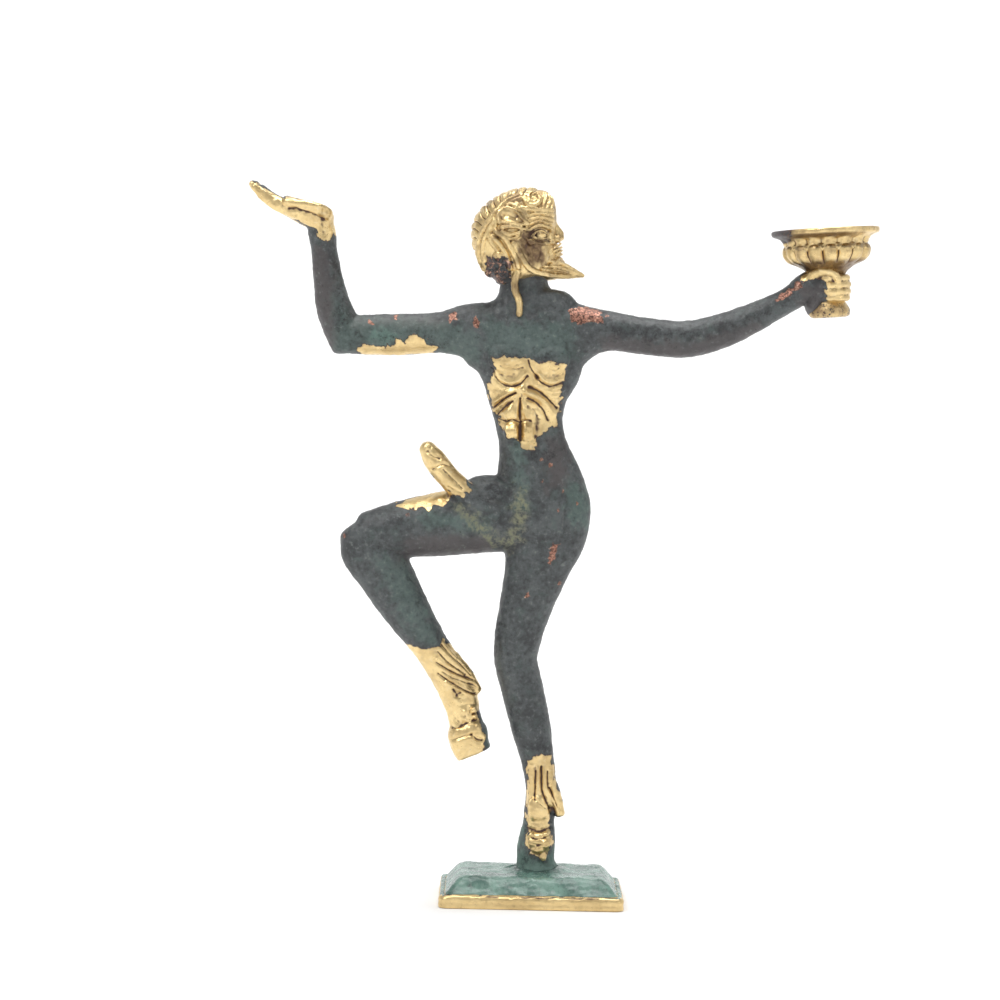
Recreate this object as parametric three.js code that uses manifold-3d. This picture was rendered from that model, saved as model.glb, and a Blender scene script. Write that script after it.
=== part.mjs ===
// A small cast bronze: a satyr dances on one hoof with a cup raised in one fist, on a sloped plinth.
//
// Millimetres, +Z up. The origin is the centre of the plinth's underside. The figure is frontal
// and rather flat: it spreads in the XZ plane, faces -Y, and turns its head in profile to +X.
// "Left" and "right" are the sides that a viewer in front of it sees.

import * as THREE from 'three';
import { mergeVertices } from 'three/addons/utils/BufferGeometryUtils.js';
import Module from 'manifold-3d';

// Driving dimensions of the plinth

const PLINTH_LENGTH = 38.4;
const PLINTH_DEPTH = 28;
const PLINTH_HEIGHT = 6.25;
const RIM_HEIGHT = 2.75;
const RIM_CORNER = 1.2;
const RIM_CHAMFER = 0.35;
const RIM_GROOVE = 0.45;
const SLOPE_RUN = 4.2;

// Driving dimensions of the cup, along its own axis from the underside of its foot

const CUP_HEIGHT = 18.4;
const CUP_RIM_RADIUS = 11.2;
const CUP_BOWL_RADIUS = 8.9;
const CUP_STEM_RADIUS = 3.4;
const CUP_FOOT_RADIUS = 4.2;
const CUP_WALL = 1.1;
const CUP_LOBES = 16;
const CUP_LOBE_DEPTH = 0.55;
const CUP_FOOT_PLACE = [59.8, 0, 123.4];
const CUP_LEAN = -4.2;

// Stations of the body. Each is [x, z, half width, half depth, y], from one end of a limb to the
// other: half width lies in the XZ plane, square to the limb, and half depth along Y.

const NECK_TO_STEM = [
  [-4.1, 133.0, 5.0, 4.2, 0.3],
  [-4.0, 127.6, 5.4, 4.3, 0.2],
  [-3.3, 124.3, 10.2, 4.4, 0],
  [-2.9, 119.5, 12.6, 5.3, 0],
  [-2.9, 115.6, 12.7, 5.8, 0],
  [-2.6, 110.6, 10.8, 5.7, 0],
  [-2.8, 105.6, 8.5, 5.1, 0],
  [-2.4, 100.6, 7.1, 4.5, 0.1],
  [-1.6, 95.6, 7.1, 4.5, 0.2],
  [-0.2, 88.6, 9.0, 5.6, 0.5],
  [0.9, 82.0, 10.0, 6.4, 0.9],
  [1.1, 76.5, 9.0, 6.0, 0.9],
  [-0.1, 70.0, 6.9, 5.3, 0.7],
  [-2.1, 62.5, 5.6, 4.8, 0.5],
  [-3.9, 54.5, 4.9, 4.4, 0.2],
  [-4.1, 50.1, 4.5, 4.2, 0],
  [-2.5, 43.8, 4.4, 4.4, 0.4],
  [-0.7, 36.4, 4.15, 4.3, 0.6],
  [0.9, 29.2, 3.45, 3.5, 0.3],
  [1.8, 22.9, 3.25, 3.2, 0],
  [1.6, 17.9, 3.35, 3.5, 0],
];

const STANDING_HOOF = [
  [1.7, 19.2, 3.1, 3.2, 0],
  [1.4, 16.2, 3.3, 3.7, 0],
  [1.2, 13.4, 3.75, 4.3, -0.1],
  [0.9, 10.4, 3.95, 4.5, -0.1],
  [0.9, 8.0, 3.95, 4.4, 0],
  [1.1, 5.6, 4.7, 5.1, 0],
];

const LEFT_UPPER_ARM = [
  [-5.0, 117.2, 8.6, 5.0, 0],
  [-11.9, 118.1, 7.5, 4.8, 0],
  [-15.6, 118.9, 5.9, 4.5, 0],
  [-21.4, 118.6, 4.3, 4.2, 0],
  [-30.0, 118.0, 4.35, 4.0, 0],
  [-38.2, 117.8, 4.1, 3.8, 0],
  [-42.3, 117.5, 3.5, 3.5, 0],
];

const LEFT_FOREARM = [
  [-41.0, 115.4, 3.1, 3.2, 0],
  [-41.9, 119.1, 3.85, 3.6, 0],
  [-43.6, 123.3, 3.7, 3.7, 0],
  [-44.9, 129.0, 3.1, 3.4, 0],
  [-45.9, 135.4, 2.7, 3.0, 0],
  [-46.5, 139.2, 2.9, 3.2, 0],
  [-47.6, 142.2, 2.3, 3.4, 0],
];

const LEFT_PALM = [
  [-44.9, 141.2, 1.9, 3.0, 0],
  [-47.6, 142.0, 2.6, 4.0, 0],
  [-51.0, 143.3, 2.4, 4.7, 0],
  [-54.4, 144.6, 1.9, 4.8, 0],
];

const RIGHT_ARM = [
  [1.0, 117.2, 9.0, 5.0, 0],
  [6.0, 118.7, 7.4, 4.8, 0],
  [10.5, 119.5, 5.1, 4.5, 0],
  [14.5, 119.6, 4.1, 4.2, 0],
  [21.0, 118.8, 3.85, 3.9, 0],
  [30.0, 118.3, 3.85, 3.8, 0],
  [37.4, 120.2, 3.6, 3.7, 0],
  [44.0, 123.1, 3.1, 3.5, 0],
  [50.4, 126.5, 2.6, 3.1, 0],
  [55.0, 129.2, 2.9, 3.2, 0],
  [58.6, 129.6, 3.6, 3.5, 0],
];

const RAISED_THIGH = [
  [5.0, 80.6, 7.6, 6.0, 0],
  [-4.8, 80.8, 7.7, 6.0, -0.2],
  [-12.2, 79.8, 7.1, 5.8, -0.5],
  [-20.5, 78.6, 6.7, 5.5, -0.8],
  [-28.9, 77.3, 5.9, 5.0, -1.0],
  [-35.0, 75.8, 5.3, 4.6, -1.1],
];

const RAISED_SHIN = [
  [-36.9, 77.0, 4.9, 4.2, -1.1],
  [-35.2, 73.4, 6.3, 4.6, -1.1],
  [-31.8, 68.0, 5.8, 4.7, -1.0],
  [-28.2, 62.0, 5.1, 4.6, -0.9],
  [-22.7, 53.9, 3.9, 4.1, -0.8],
  [-19.2, 48.8, 3.8, 3.8, -0.8],
  [-16.0, 43.0, 3.8, 3.5, -0.8],
  [-14.7, 38.4, 3.45, 3.4, -0.8],
  [-14.0, 35.9, 3.6, 3.5, -0.8],
];

const RAISED_HOOF = [
  [-14.3, 36.6, 3.6, 3.6, -0.8],
  [-14.0, 35.2, 4.15, 4.0, -0.8],
  [-13.5, 33.0, 4.05, 4.1, -0.8],
  [-12.5, 30.7, 3.7, 4.0, -0.8],
];

const PHALLUS = [
  [-8.0, 80.8, 2.9, 2.8, -4.6],
  [-14.4, 84.6, 2.6, 2.6, -4.2],
  [-18.9, 88.5, 2.4, 2.4, -3.9],
  [-22.1, 92.4, 2.35, 2.4, -3.6],
  [-23.6, 94.6, 1.7, 1.8, -3.5],
];

// The head, in profile: [x, z] round the smooth outline of skull and face, and its half breadth

const HEAD_OUTLINE = [
  [2.2, 143.4],
  [2.0, 146.8],
  [-0.4, 149.1],
  [-5.4, 149.2],
  [-10.6, 147.2],
  [-14.4, 143.4],
  [-15.4, 138.6],
  [-13.6, 133.6],
  [-9.6, 129.6],
  [-3.0, 129.6],
  [0.8, 131.4],
  [2.6, 135.0],
  [2.3, 139.4],
];
const HEAD_CENTRE = [-6.0, 139.8];
const HEAD_HALF_BREADTH = 7.0;

const BRONZE = { color: 0x3f4a48, roughness: 0.5, metalness: 0.8 };
const PLINTH_BRONZE = { color: 0x4f8577, roughness: 0.6, metalness: 0.6 };

const AXIS_Y = new THREE.Vector3(0, 1, 0);
const AXIS_Z = new THREE.Vector3(0, 0, 1);

const wasm = await Module();
wasm.setup();

// Closed meshes: rings of points joined side by side, closed by a tip at each end

function closedBody(rings, firstTip, lastTip) {
  const count = rings[0].length;
  const points = [firstTip, ...rings.flat(), lastTip];
  const last = points.length - 1;
  const index = [];
  for (let side = 0; side < count; side++) {
    const next = (side + 1) % count;
    index.push(0, 1 + next, 1 + side);
    for (let ring = 0; ring + 1 < rings.length; ring++) {
      const here = 1 + ring * count;
      const there = here + count;
      index.push(here + side, here + next, there + next);
      index.push(here + side, there + next, there + side);
    }
    const end = last - count;
    index.push(end + side, end + next, last);
  }
  const geometry = new THREE.BufferGeometry().setFromPoints(points);
  geometry.setIndex(index);
  return geometry;
}

// One ring of a swept body: a superellipse with half sizes `width` along `side` and `depth` along
// `across`. Squareness 2 is an ellipse, more is boxier.
function ringAt(centre, side, across, width, depth, sides, squareness) {
  const ring = [];
  for (let k = 0; k < sides; k++) {
    const angle = (2 * Math.PI * (k + 0.5)) / sides;
    const u = Math.sign(Math.cos(angle)) * Math.abs(Math.cos(angle)) ** (2 / squareness);
    const v = Math.sign(Math.sin(angle)) * Math.abs(Math.sin(angle)) ** (2 / squareness);
    ring.push(centre.clone().addScaledVector(side, width * u).addScaledVector(across, depth * v));
  }
  return ring;
}

// A tapering body swept through `places`, with half sizes `widths` and `depths` at them. `across`
// is the direction of the depths. Each end closes with a dome as long as `domes` says, or flat.
function sweep(places, widths, depths, options = {}) {
  const { across = AXIS_Y, sides = 12, steps = 1, squareness = 2, domes = [0, 0], domeSteps = 1 } = options;
  const path = new THREE.CatmullRomCurve3(places, false, 'centripetal');
  const sizes = new THREE.CatmullRomCurve3(
    widths.map((width, k) => new THREE.Vector3(width, depths[k], 0)), false, 'catmullrom');
  const spans = (places.length - 1) * steps;
  const domeTurns = Array.from({ length: domeSteps }, (_, k) => 1.2 * ((k + 1) / (domeSteps + 0.5)));
  const rings = [];
  const ring = (centre, tangent, t, scale) => {
    const size = sizes.getPoint(t);
    const side = new THREE.Vector3().crossVectors(tangent, across).normalize();
    const width = size.x * scale;
    const depth = size.y * scale;
    rings.push(ringAt(centre, side, across, width, depth, sides, squareness));
  };
  const dome = (t, length, direction, turns) => {
    const tangent = path.getTangent(t);
    for (const turn of turns) {
      const centre = path.getPoint(t).addScaledVector(tangent, direction * length * Math.sin(turn));
      ring(centre, tangent, t, Math.cos(turn));
    }
  };
  if (domes[0] > 0) dome(0, domes[0], -1, [...domeTurns].reverse());
  for (let k = 0; k <= spans; k++) ring(path.getPoint(k / spans), path.getTangent(k / spans), k / spans, 1);
  if (domes[1] > 0) dome(1, domes[1], 1, domeTurns);
  const firstTip = path.getPoint(0).addScaledVector(path.getTangent(0), -domes[0]);
  const lastTip = path.getPoint(1).addScaledVector(path.getTangent(1), domes[1]);
  return closedBody(rings, firstTip, lastTip);
}

// A sweep through stations [x, z, half width, half depth, y]
function limb(stations, options) {
  const places = stations.map(([x, z, , , y]) => new THREE.Vector3(x, y, z));
  return sweep(places, stations.map((row) => row[2]), stations.map((row) => row[3]), options);
}

// A rod of one radius through points [x, y, z], thinning to `tip` of that radius at its end
function rod(points, radius, options = {}) {
  const { tip = 1, flat = 1, ...rest } = options;
  const last = points.length - 1;
  const widths = points.map((_, k) => radius * (1 + (tip - 1) * (k / last)));
  const places = points.map(([x, y, z]) => new THREE.Vector3(x, y, z));
  const depths = widths.map((width) => width * flat);
  return sweep(places, widths, depths, { sides: 5, domes: [radius, radius * tip], ...rest });
}

// An ellipsoid at [x, y, z] with radii along X, Y and Z, turned about Y by `turn` degrees
function bulge(place, radii, turn = 0, segments = [7, 5]) {
  const geometry = new THREE.SphereGeometry(1, ...segments);
  geometry.scale(...radii);
  geometry.rotateY(THREE.MathUtils.degToRad(turn));
  geometry.translate(...place);
  return geometry;
}

// A geometry as a solid: shared corners merged, faces that the merge flattens left out, and all
// faces turned outward
function solid(geometry) {
  const bare = geometry.clone();
  for (const name of ['normal', 'uv']) {
    if (bare.getAttribute(name)) bare.deleteAttribute(name);
  }
  const merged = mergeVertices(bare, 1e-4);
  const place = merged.getAttribute('position');
  const triangles = [];
  let volume = 0;
  for (let k = 0; k < merged.index.count; k += 3) {
    const [a, b, c] = [0, 1, 2].map((corner) => merged.index.getX(k + corner));
    if (a === b || b === c || a === c) continue;
    const [p, q, r] = [a, b, c].map((n) => new THREE.Vector3().fromBufferAttribute(place, n));
    volume += p.dot(q.cross(r));
    triangles.push(a, b, c);
  }
  if (volume < 0) triangles.reverse();
  const vertProperties = new Float32Array(place.array);
  const triVerts = new Uint32Array(triangles);
  return new wasm.Manifold(new wasm.Mesh({ numProp: 3, vertProperties, triVerts }));
}

function join(geometries) {
  return geometries.map(solid).reduce((whole, next) => whole.add(next));
}

// The same forms on both sides of the head or body: `make(side)` for side -1 (front) and 1 (back)
function bothSides(make) {
  return [-1, 1].flatMap(make);
}

// The triangles of a mesh that hang together with the most volume. A pocket that the joined forms
// enclose is a shell of its own, and leaving it out fills it, as the casting does.
function outerShell(corners, triangles) {
  const parent = Array.from({ length: corners.length / 3 }, (_, n) => n);
  const root = (n) => {
    while (parent[n] !== n) {
      parent[n] = parent[parent[n]];
      n = parent[n];
    }
    return n;
  };
  const volumes = new Map();
  const corner = (n) => new THREE.Vector3(corners[3 * n], corners[3 * n + 1], corners[3 * n + 2]);
  for (let k = 0; k < triangles.length; k += 3) {
    parent[root(triangles[k])] = root(triangles[k + 1]);
    parent[root(triangles[k + 1])] = root(triangles[k + 2]);
  }
  for (let k = 0; k < triangles.length; k += 3) {
    const [a, b, c] = [0, 1, 2].map((n) => corner(triangles[k + n]));
    const shell = root(triangles[k]);
    volumes.set(shell, (volumes.get(shell) ?? 0) + a.dot(b.cross(c)));
  }
  const largest = [...volumes].reduce((best, next) => (next[1] > best[1] ? next : best))[0];
  const kept = [];
  for (let k = 0; k < triangles.length; k += 3) {
    if (root(triangles[k]) === largest) kept.push(triangles[k], triangles[k + 1], triangles[k + 2]);
  }
  return kept;
}

function placedMesh(name, body, look) {
  const { vertProperties, triVerts } = body.getMesh();
  const geometry = new THREE.BufferGeometry();
  geometry.setAttribute('position', new THREE.BufferAttribute(vertProperties, 3));
  geometry.setIndex(outerShell(vertProperties, triVerts));
  geometry.computeVertexNormals();
  const mesh = new THREE.Mesh(geometry, new THREE.MeshStandardMaterial(look));
  mesh.name = name;
  return mesh;
}

// The plinth: a rim with a small chamfer, a groove inside it, and four slopes up to a flat top

function plinthRing(inset, z) {
  const halfLength = PLINTH_LENGTH / 2 - inset;
  const halfDepth = PLINTH_DEPTH / 2 - inset;
  const corner = Math.max(RIM_CORNER - inset * 0.5, 0.5);
  const arcSteps = 3;
  const ring = [];
  for (let quarter = 0; quarter < 4; quarter++) {
    const signX = quarter === 0 || quarter === 3 ? 1 : -1;
    const signY = quarter < 2 ? 1 : -1;
    for (let k = 0; k <= arcSteps; k++) {
      const angle = (Math.PI / 2) * (quarter + k / arcSteps);
      const x = signX * (halfLength - corner) + corner * Math.cos(angle);
      const y = signY * (halfDepth - corner) + corner * Math.sin(angle);
      ring.push(new THREE.Vector3(x, y, z));
    }
  }
  return ring;
}

function plinth() {
  const rings = [
    plinthRing(RIM_CHAMFER / 2, 0),
    plinthRing(0, RIM_CHAMFER / 2),
    plinthRing(0, RIM_HEIGHT - RIM_CHAMFER),
    plinthRing(RIM_CHAMFER, RIM_HEIGHT),
    plinthRing(RIM_CHAMFER + RIM_GROOVE, RIM_HEIGHT - 0.1),
    plinthRing(SLOPE_RUN, PLINTH_HEIGHT - 0.15),
    plinthRing(SLOPE_RUN + 0.6, PLINTH_HEIGHT),
  ];
  const middle = (z) => new THREE.Vector3(0, 0, z);
  return solid(closedBody(rings, middle(0), middle(PLINTH_HEIGHT)));
}

// The cup: one closed profile turned about its axis, with lobes round the lower bowl

function cupProfile() {
  const bowl = CUP_BOWL_RADIUS;
  const rim = CUP_RIM_RADIUS;
  const top = CUP_HEIGHT;
  const points = [
    [0, 0], [CUP_FOOT_RADIUS, 0.2], [CUP_FOOT_RADIUS, 2.2], [CUP_STEM_RADIUS, 3.1],
    [CUP_STEM_RADIUS, 8.4], [5.0, 10.2], [bowl - 0.6, 12.3], [bowl, 13.7],
    [bowl - 0.3, 15.2], [bowl + 0.1, 16.2], [rim - 0.2, top - 1.3], [rim, top - 1.0],
    [rim, top], [rim - CUP_WALL, top], [bowl - CUP_WALL, 15.6], [5.8, 12.6], [0, 12.1],
  ];
  return points.map(([radius, height]) => new THREE.Vector2(radius, height));
}

function cupPlacement() {
  const lean = new THREE.Matrix4().makeRotationY(THREE.MathUtils.degToRad(CUP_LEAN));
  return new THREE.Matrix4().makeTranslation(...CUP_FOOT_PLACE).multiply(lean);
}

function cup() {
  const segments = CUP_LOBES * 2;
  const geometry = new THREE.LatheGeometry(cupProfile(), segments);
  geometry.rotateX(Math.PI / 2);
  const place = geometry.getAttribute('position');
  const lobeBand = [11.4, 15.2];
  const middle = (lobeBand[0] + lobeBand[1]) / 2;
  for (let k = 0; k < place.count; k++) {
    const radius = Math.hypot(place.getX(k), place.getY(k));
    const height = place.getZ(k);
    const outside = radius > CUP_BOWL_RADIUS - CUP_WALL + 0.1 || height < 12;
    if (!outside || height < lobeBand[0] || height > lobeBand[1]) continue;
    const angle = Math.atan2(place.getY(k), place.getX(k));
    const fade = 1 - Math.abs(height - middle) / (lobeBand[1] - lobeBand[0]);
    const dip = CUP_LOBE_DEPTH * fade * 2 * (1 - Math.abs(Math.cos((angle * CUP_LOBES) / 2)));
    const scale = (radius + CUP_LOBE_DEPTH / 3 - dip) / radius;
    place.setXY(k, place.getX(k) * scale, place.getY(k) * scale);
  }
  return geometry.applyMatrix4(cupPlacement());
}

// The fist: four fingers laid round the cup's stem, the thumb over them

function fist() {
  const fingerCount = 4;
  const fingerBand = [3.2, 8.9];
  const turns = [125, 112, 70, 25, -20, -65, -105, -118];
  const rings = turns.map((degrees, step) => {
    const angle = THREE.MathUtils.degToRad(degrees);
    const full = step > 0 && step < turns.length - 1 ? 1 : 0.5;
    const section = [[2.4, fingerBand[1]], [2.4, fingerBand[0]]];
    for (let k = 0; k <= fingerCount * 2; k++) {
      const height = fingerBand[0] + ((fingerBand[1] - fingerBand[0]) * k) / (fingerCount * 2);
      const knuckle = k % 2 === 1 ? 4.75 : 4.0;
      section.push([2.4 + (knuckle - 2.4) * full, height]);
    }
    return section.map(([radius, height]) => new THREE.Vector3(
      radius * Math.cos(angle), radius * Math.sin(angle), height));
  });
  const middle = (ring) => ring.reduce((sum, point) => sum.add(point), new THREE.Vector3())
    .divideScalar(ring.length);
  const fingers = closedBody(rings, middle(rings[0]), middle(rings.at(-1))).applyMatrix4(cupPlacement());
  const thumb = rod([[55.4, -2.6, 131.3], [57.0, -3.6, 132.6], [58.9, -4.3, 132.6], [60.6, -4.4, 131.5]],
    1.15, { tip: 0.75 });
  const palm = limb([
    [52.6, 128.3, 2.6, 3.1, 0],
    [55.6, 129.6, 3.5, 3.6, 0],
    [58.2, 129.4, 3.9, 3.9, 0],
    [60.2, 129.3, 3.4, 3.6, 0],
  ], { squareness: 2.4, domes: [0.5, 1.0] });
  const web = bulge([57.6, 0, 132.4], [3.0, 3.2, 2.2]);
  return [palm, web, thumb, fingers];
}

// The open hand: palm up and bent back at the wrist, fingers side by side in depth

function openHand() {
  const fingers = [-3.7, -1.25, 1.2, 3.6].map((y, finger) => {
    const length = [0.92, 1.0, 0.97, 0.82][finger];
    const lift = [0, 0.35, 0.55, 0.5][finger];
    const points = [[-52.0, 143.4], [-55.6, 144.4], [-58.4, 146.1], [-60.9, 148.2]].map(([x, z]) => {
      const run = (-52.0 - x) * length;
      return [-52.0 - run, y, 143.4 + (z - 143.4) * length + lift * Math.min(run / 4, 1)];
    });
    return rod(points, 1.75, { tip: 0.5, flat: 0.72, sides: 6 });
  });
  const thumb = rod([[-45.2, -3.2, 142.6], [-47.4, -4.4, 143.8], [-50.4, -4.9, 144.4], [-53.6, -4.7, 144.9]],
    1.3, { tip: 0.65 });
  return [limb(LEFT_PALM, { squareness: 2.6, domes: [0.8, 0.8] }), thumb, ...fingers];
}

// The head: a rounded body inside the profile outline, then the features and the hair on it

function skull() {
  const outline = new THREE.CatmullRomCurve3(
    HEAD_OUTLINE.map(([x, z]) => new THREE.Vector3(x, 0, z)), true, 'centripetal');
  const around = 20;
  const levels = 4;
  const [cx, cz] = HEAD_CENTRE;
  const rings = [];
  for (let level = -levels + 1; level < levels; level++) {
    const turn = (level / levels) * (Math.PI / 2);
    const scale = Math.cos(turn) ** 0.8;
    const ring = [];
    for (let k = 0; k < around; k++) {
      const point = outline.getPoint(k / around);
      const x = cx + (point.x - cx) * scale;
      const z = cz + (point.z - cz) * scale;
      ring.push(new THREE.Vector3(x, HEAD_HALF_BREADTH * Math.sin(turn), z));
    }
    rings.push(ring);
  }
  const pole = (side) => new THREE.Vector3(cx, side * HEAD_HALF_BREADTH, cz);
  return closedBody(rings, pole(-1), pole(1));
}

// How far the skull's side stands out from its middle plane at [x, z]
function skullSide(x, z) {
  const [cx, cz] = HEAD_CENTRE;
  const reach = Math.min(Math.hypot(x - cx, z - cz) / 9.6, 1);
  return HEAD_HALF_BREADTH * Math.sin(Math.acos(reach ** 1.25));
}

// A strand of hair laid on the side of the head through points [x, z]
function strand(side, points, radius, options = {}) {
  const { lift = 0.2, ...rest } = options;
  const places = points.map(([x, z]) => [x, side * (skullSide(x, z) + lift), z]);
  return rod(places, radius, rest);
}

function face() {
  const nose = limb([
    [1.4, 142.4, 1.0, 0.8, 0],
    [2.1, 140.6, 1.1, 1.0, 0],
    [2.9, 139.1, 1.3, 1.4, 0],
    [2.9, 138.0, 0.9, 1.3, 0],
  ], { sides: 8, domes: [0.5, 0.4] });
  const lips = [[136.4, 2.6], [134.9, 2.3]].map(([z, halfWidth]) => {
    return rod([[1.0, -halfWidth, z + 0.1], [3.0, 0, z], [1.0, halfWidth, z + 0.1]], 0.95, { across: AXIS_Z, flat: 0.7 });
  });
  const eyesAndBrows = bothSides((side) => [
    bulge([-0.1, side * 4.1, 138.9], [1.5, 1.0, 0.75], 8),
    rod([[-4.2, side * 5.9, 140.6], [-1.8, side * 5.2, 141.7], [0.6, side * 3.6, 141.4], [2.3, side * 1.2, 140.9]],
      0.65),
  ]);
  return [nose, ...lips, ...eyesAndBrows];
}

function beard() {
  const blade = limb([
    [-3.0, 132.2, 2.6, 4.6, 0],
    [1.0, 132.3, 2.6, 3.9, 0],
    [4.4, 132.0, 1.75, 2.6, 0],
    [7.0, 131.4, 0.95, 1.5, 0],
    [8.2, 131.1, 0.55, 0.8, 0],
  ], { sides: 10, domes: [0.5, 0.4] });
  const edges = bothSides((side) => [
    rod([
      [-6.6, side * 6.9, 139.4],
      [-5.4, side * 6.7, 135.6],
      [-3.2, side * 5.9, 132.5],
      [1.0, side * 4.2, 131.2],
      [5.0, side * 2.0, 131.0],
    ], 0.95, { tip: 0.6 }),
    rod([[1.4, side * 3.3, 133.5], [4.2, side * 2.1, 133.0], [6.8, side * 0.9, 131.9]], 0.6, { tip: 0.6 }),
  ]);
  return [blade, ...edges];
}

function ears() {
  return bothSides((side) => {
    const leaf = bulge([-7.6, side * 6.9, 143.1], [3.3, 0.9, 1.7], 24);
    const tip = rod([[-7.0, side * 7.2, 143.2], [-4.2, side * 6.8, 141.8]], 0.9, { tip: 0.35 });
    return [leaf, tip];
  });
}

// Hair: a fillet over each side, locks down the nape, a curl over the brow and a long lock on the neck

function hair() {
  const fillet = [[-12.2, 132.9], [-13.2, 138.4], [-11.6, 142.4], [-8.8, 145.2], [-5.6, 146.6]];
  const napeLocks = [
    [[-10.4, 139.8], [-10.8, 134.8], [-9.6, 130.0]],
    [[-7.8, 139.8], [-8.4, 135.0], [-7.2, 130.4]],
  ];
  const browCurl = (side) => {
    const turns = [0, 60, 120, 180, 240, 300].map((degrees) => {
      const angle = THREE.MathUtils.degToRad(degrees);
      return [-2.8 + 1.5 * Math.cos(angle), side * 4.7, 147.0 + 1.3 * Math.sin(angle)];
    });
    return rod(turns, 0.75);
  };
  return bothSides((side) => [
    strand(side, fillet, 0.85),
    ...napeLocks.map((points) => strand(side, points, 0.95, { tip: 0.8, lift: 0.1 })),
    browCurl(side),
    rod([[-5.2, side * 4.9, 131.4], [-5.6, side * 4.9, 128.2], [-5.0, side * 4.9, 125.6], [-4.7, side * 5.0, 123.4]],
      0.95, { tip: 0.6 }),
  ]);
}

function head() {
  return [skull(), ...face(), ...beard(), ...ears(), ...hair()];
}

// Muscles: low swellings on chest, belly, groin and seat

function torsoRelief() {
  const pectorals = [[-7.1, 113.3, 6], [1.5, 113.4, -6]].map(([x, z, turn]) => {
    return bulge([x, -4.9, z], [4.3, 1.5, 3.1], turn);
  });
  const belly = [];
  for (let row = 0; row < 2; row++) {
    for (const side of [-1, 1]) {
      belly.push(bulge([-4.3 + side * 1.8, -3.8, 102.2 - row * 3.9], [1.75, 1.25, 1.9]));
    }
  }
  const ribArch = [-1, 1].map((side) => rod([
    [-4.3 + side * 0.3, -5.1, 107.6],
    [-4.0 + side * 3.6, -4.9, 105.9],
    [-3.4 + side * 6.4, -3.6, 102.9],
  ], 0.8, { tip: 0.7 }));
  const groin = bulge([-10.4, -1.2, 84.4], [7.2, 4.6, 4.8]);
  const buttocks = [[-3.4, 81.0], [5.2, 80.4]].map(([x, z]) => bulge([x, 4.0, z], [5.0, 3.6, 5.4]));
  return [...pectorals, ...belly, ...ribArch, groin, ...buttocks];
}

// Fur tufts: ridges that run down the shank and stand off as a spur behind each fetlock

function furTufts() {
  const raisedSpur = limb([
    [-18.6, 52.6, 1.0, 1.6, -0.8],
    [-14.6, 47.4, 1.5, 1.9, -0.8],
    [-12.2, 43.8, 1.2, 1.5, -0.8],
  ], { sides: 8, domes: [0.5, 0.7] });
  const raisedLocks = bothSides((side) => [0, 1].map((k) => rod([
    [-19.4 + k * 1.6, -0.8 + side * 3.2, 50.6 - k * 3.4],
    [-16.4 + k * 1.3, -0.8 + side * 3.2, 46.8 - k * 2.2],
    [-12.9, -0.8 + side * 1.7, 43.9 - k * 0.7],
  ], 0.7, { tip: 0.7 })));
  const raisedKnot = bulge([-13.3, -3.9, 38.2], [1.6, 1.1, 1.7]);
  const standingSpur = limb([
    [3.0, 27.4, 0.9, 1.5, -0.9],
    [4.7, 22.6, 1.15, 1.7, -1.3],
    [5.8, 18.3, 1.1, 1.4, -1.6],
  ], { sides: 8, domes: [0.5, 0.6] });
  const standingLocks = [[0.4, 0.6], [2.4, 2.2]].map(([top, foot]) => rod([
    [top, -3.3, 28.6], [top, -3.5, 24.8], [foot, -3.5, 20.4],
  ], 0.8));
  const standingDrop = bulge([1.7, -3.1, 19.6], [2.2, 1.2, 2.6]);
  const standingKnob = bulge([1.9, -3.6, 12.7], [2.3, 1.7, 2.5], 0, [10, 7]);
  return [raisedSpur, ...raisedLocks, raisedKnot, standingSpur, ...standingLocks, standingDrop, standingKnob];
}

// The cleft between the two toes of the raised hoof
function cleft() {
  const slot = new THREE.BoxGeometry(5.0, 0.7, 5.4);
  slot.rotateY(THREE.MathUtils.degToRad(-14));
  slot.translate(-17.2, -0.8, 30.8);
  return solid(slot);
}

// Everything below the plinth's flat top, which trims the stem to a flat foot
function belowPlinthTop() {
  const block = new THREE.BoxGeometry(PLINTH_LENGTH, PLINTH_DEPTH, PLINTH_HEIGHT);
  block.translate(0, 0, PLINTH_HEIGHT / 2);
  return solid(block);
}

function satyr() {
  const round = { sides: 12, domeSteps: 2 };
  const body = [
    limb(NECK_TO_STEM, { sides: 14, squareness: 2.2 }),
    limb(STANDING_HOOF, { sides: 12, squareness: 2.3 }),
    limb(LEFT_UPPER_ARM, { ...round, domes: [0, 1.6] }),
    limb(LEFT_FOREARM, { ...round, domes: [1.6, 0.8] }),
    limb(RIGHT_ARM, round),
    limb(RAISED_THIGH, { ...round, sides: 14, domes: [0, 3.4] }),
    limb(RAISED_SHIN, { ...round, domes: [2.0, 0.5] }),
    limb(RAISED_HOOF, { sides: 12, squareness: 3, domes: [0.3, 0.25] }),
    limb(PHALLUS, { sides: 10, domes: [0, 1.3] }),
  ];
  const cast = join([...body, ...torsoRelief(), ...furTufts(), ...openHand(), ...fist(), ...head(), cup()]);
  return cast.subtract(cleft()).subtract(belowPlinthTop());
}

const statuette = new THREE.Group();
statuette.add(placedMesh('plinth', plinth(), PLINTH_BRONZE));
statuette.add(placedMesh('satyr_figure', satyr(), BRONZE));

export default statuette;
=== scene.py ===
"""A small cast bronze satyr that dances on one hoof with a cup in its fist, on a sloped plinth.

All shapes are worked out in millimetres, +Z up, with the origin at the centre of the plinth's
underside, and become metres when a mesh is made. The figure is frontal and rather flat: it
spreads in the XZ plane, faces -Y and turns its head in profile to +X. "Left" and "right" are the
sides that a viewer in front of it sees. A form is a pair: its points and a list of face arrays.
"""

import math

import bpy
import numpy as np
from mathutils import Matrix, Vector


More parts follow.
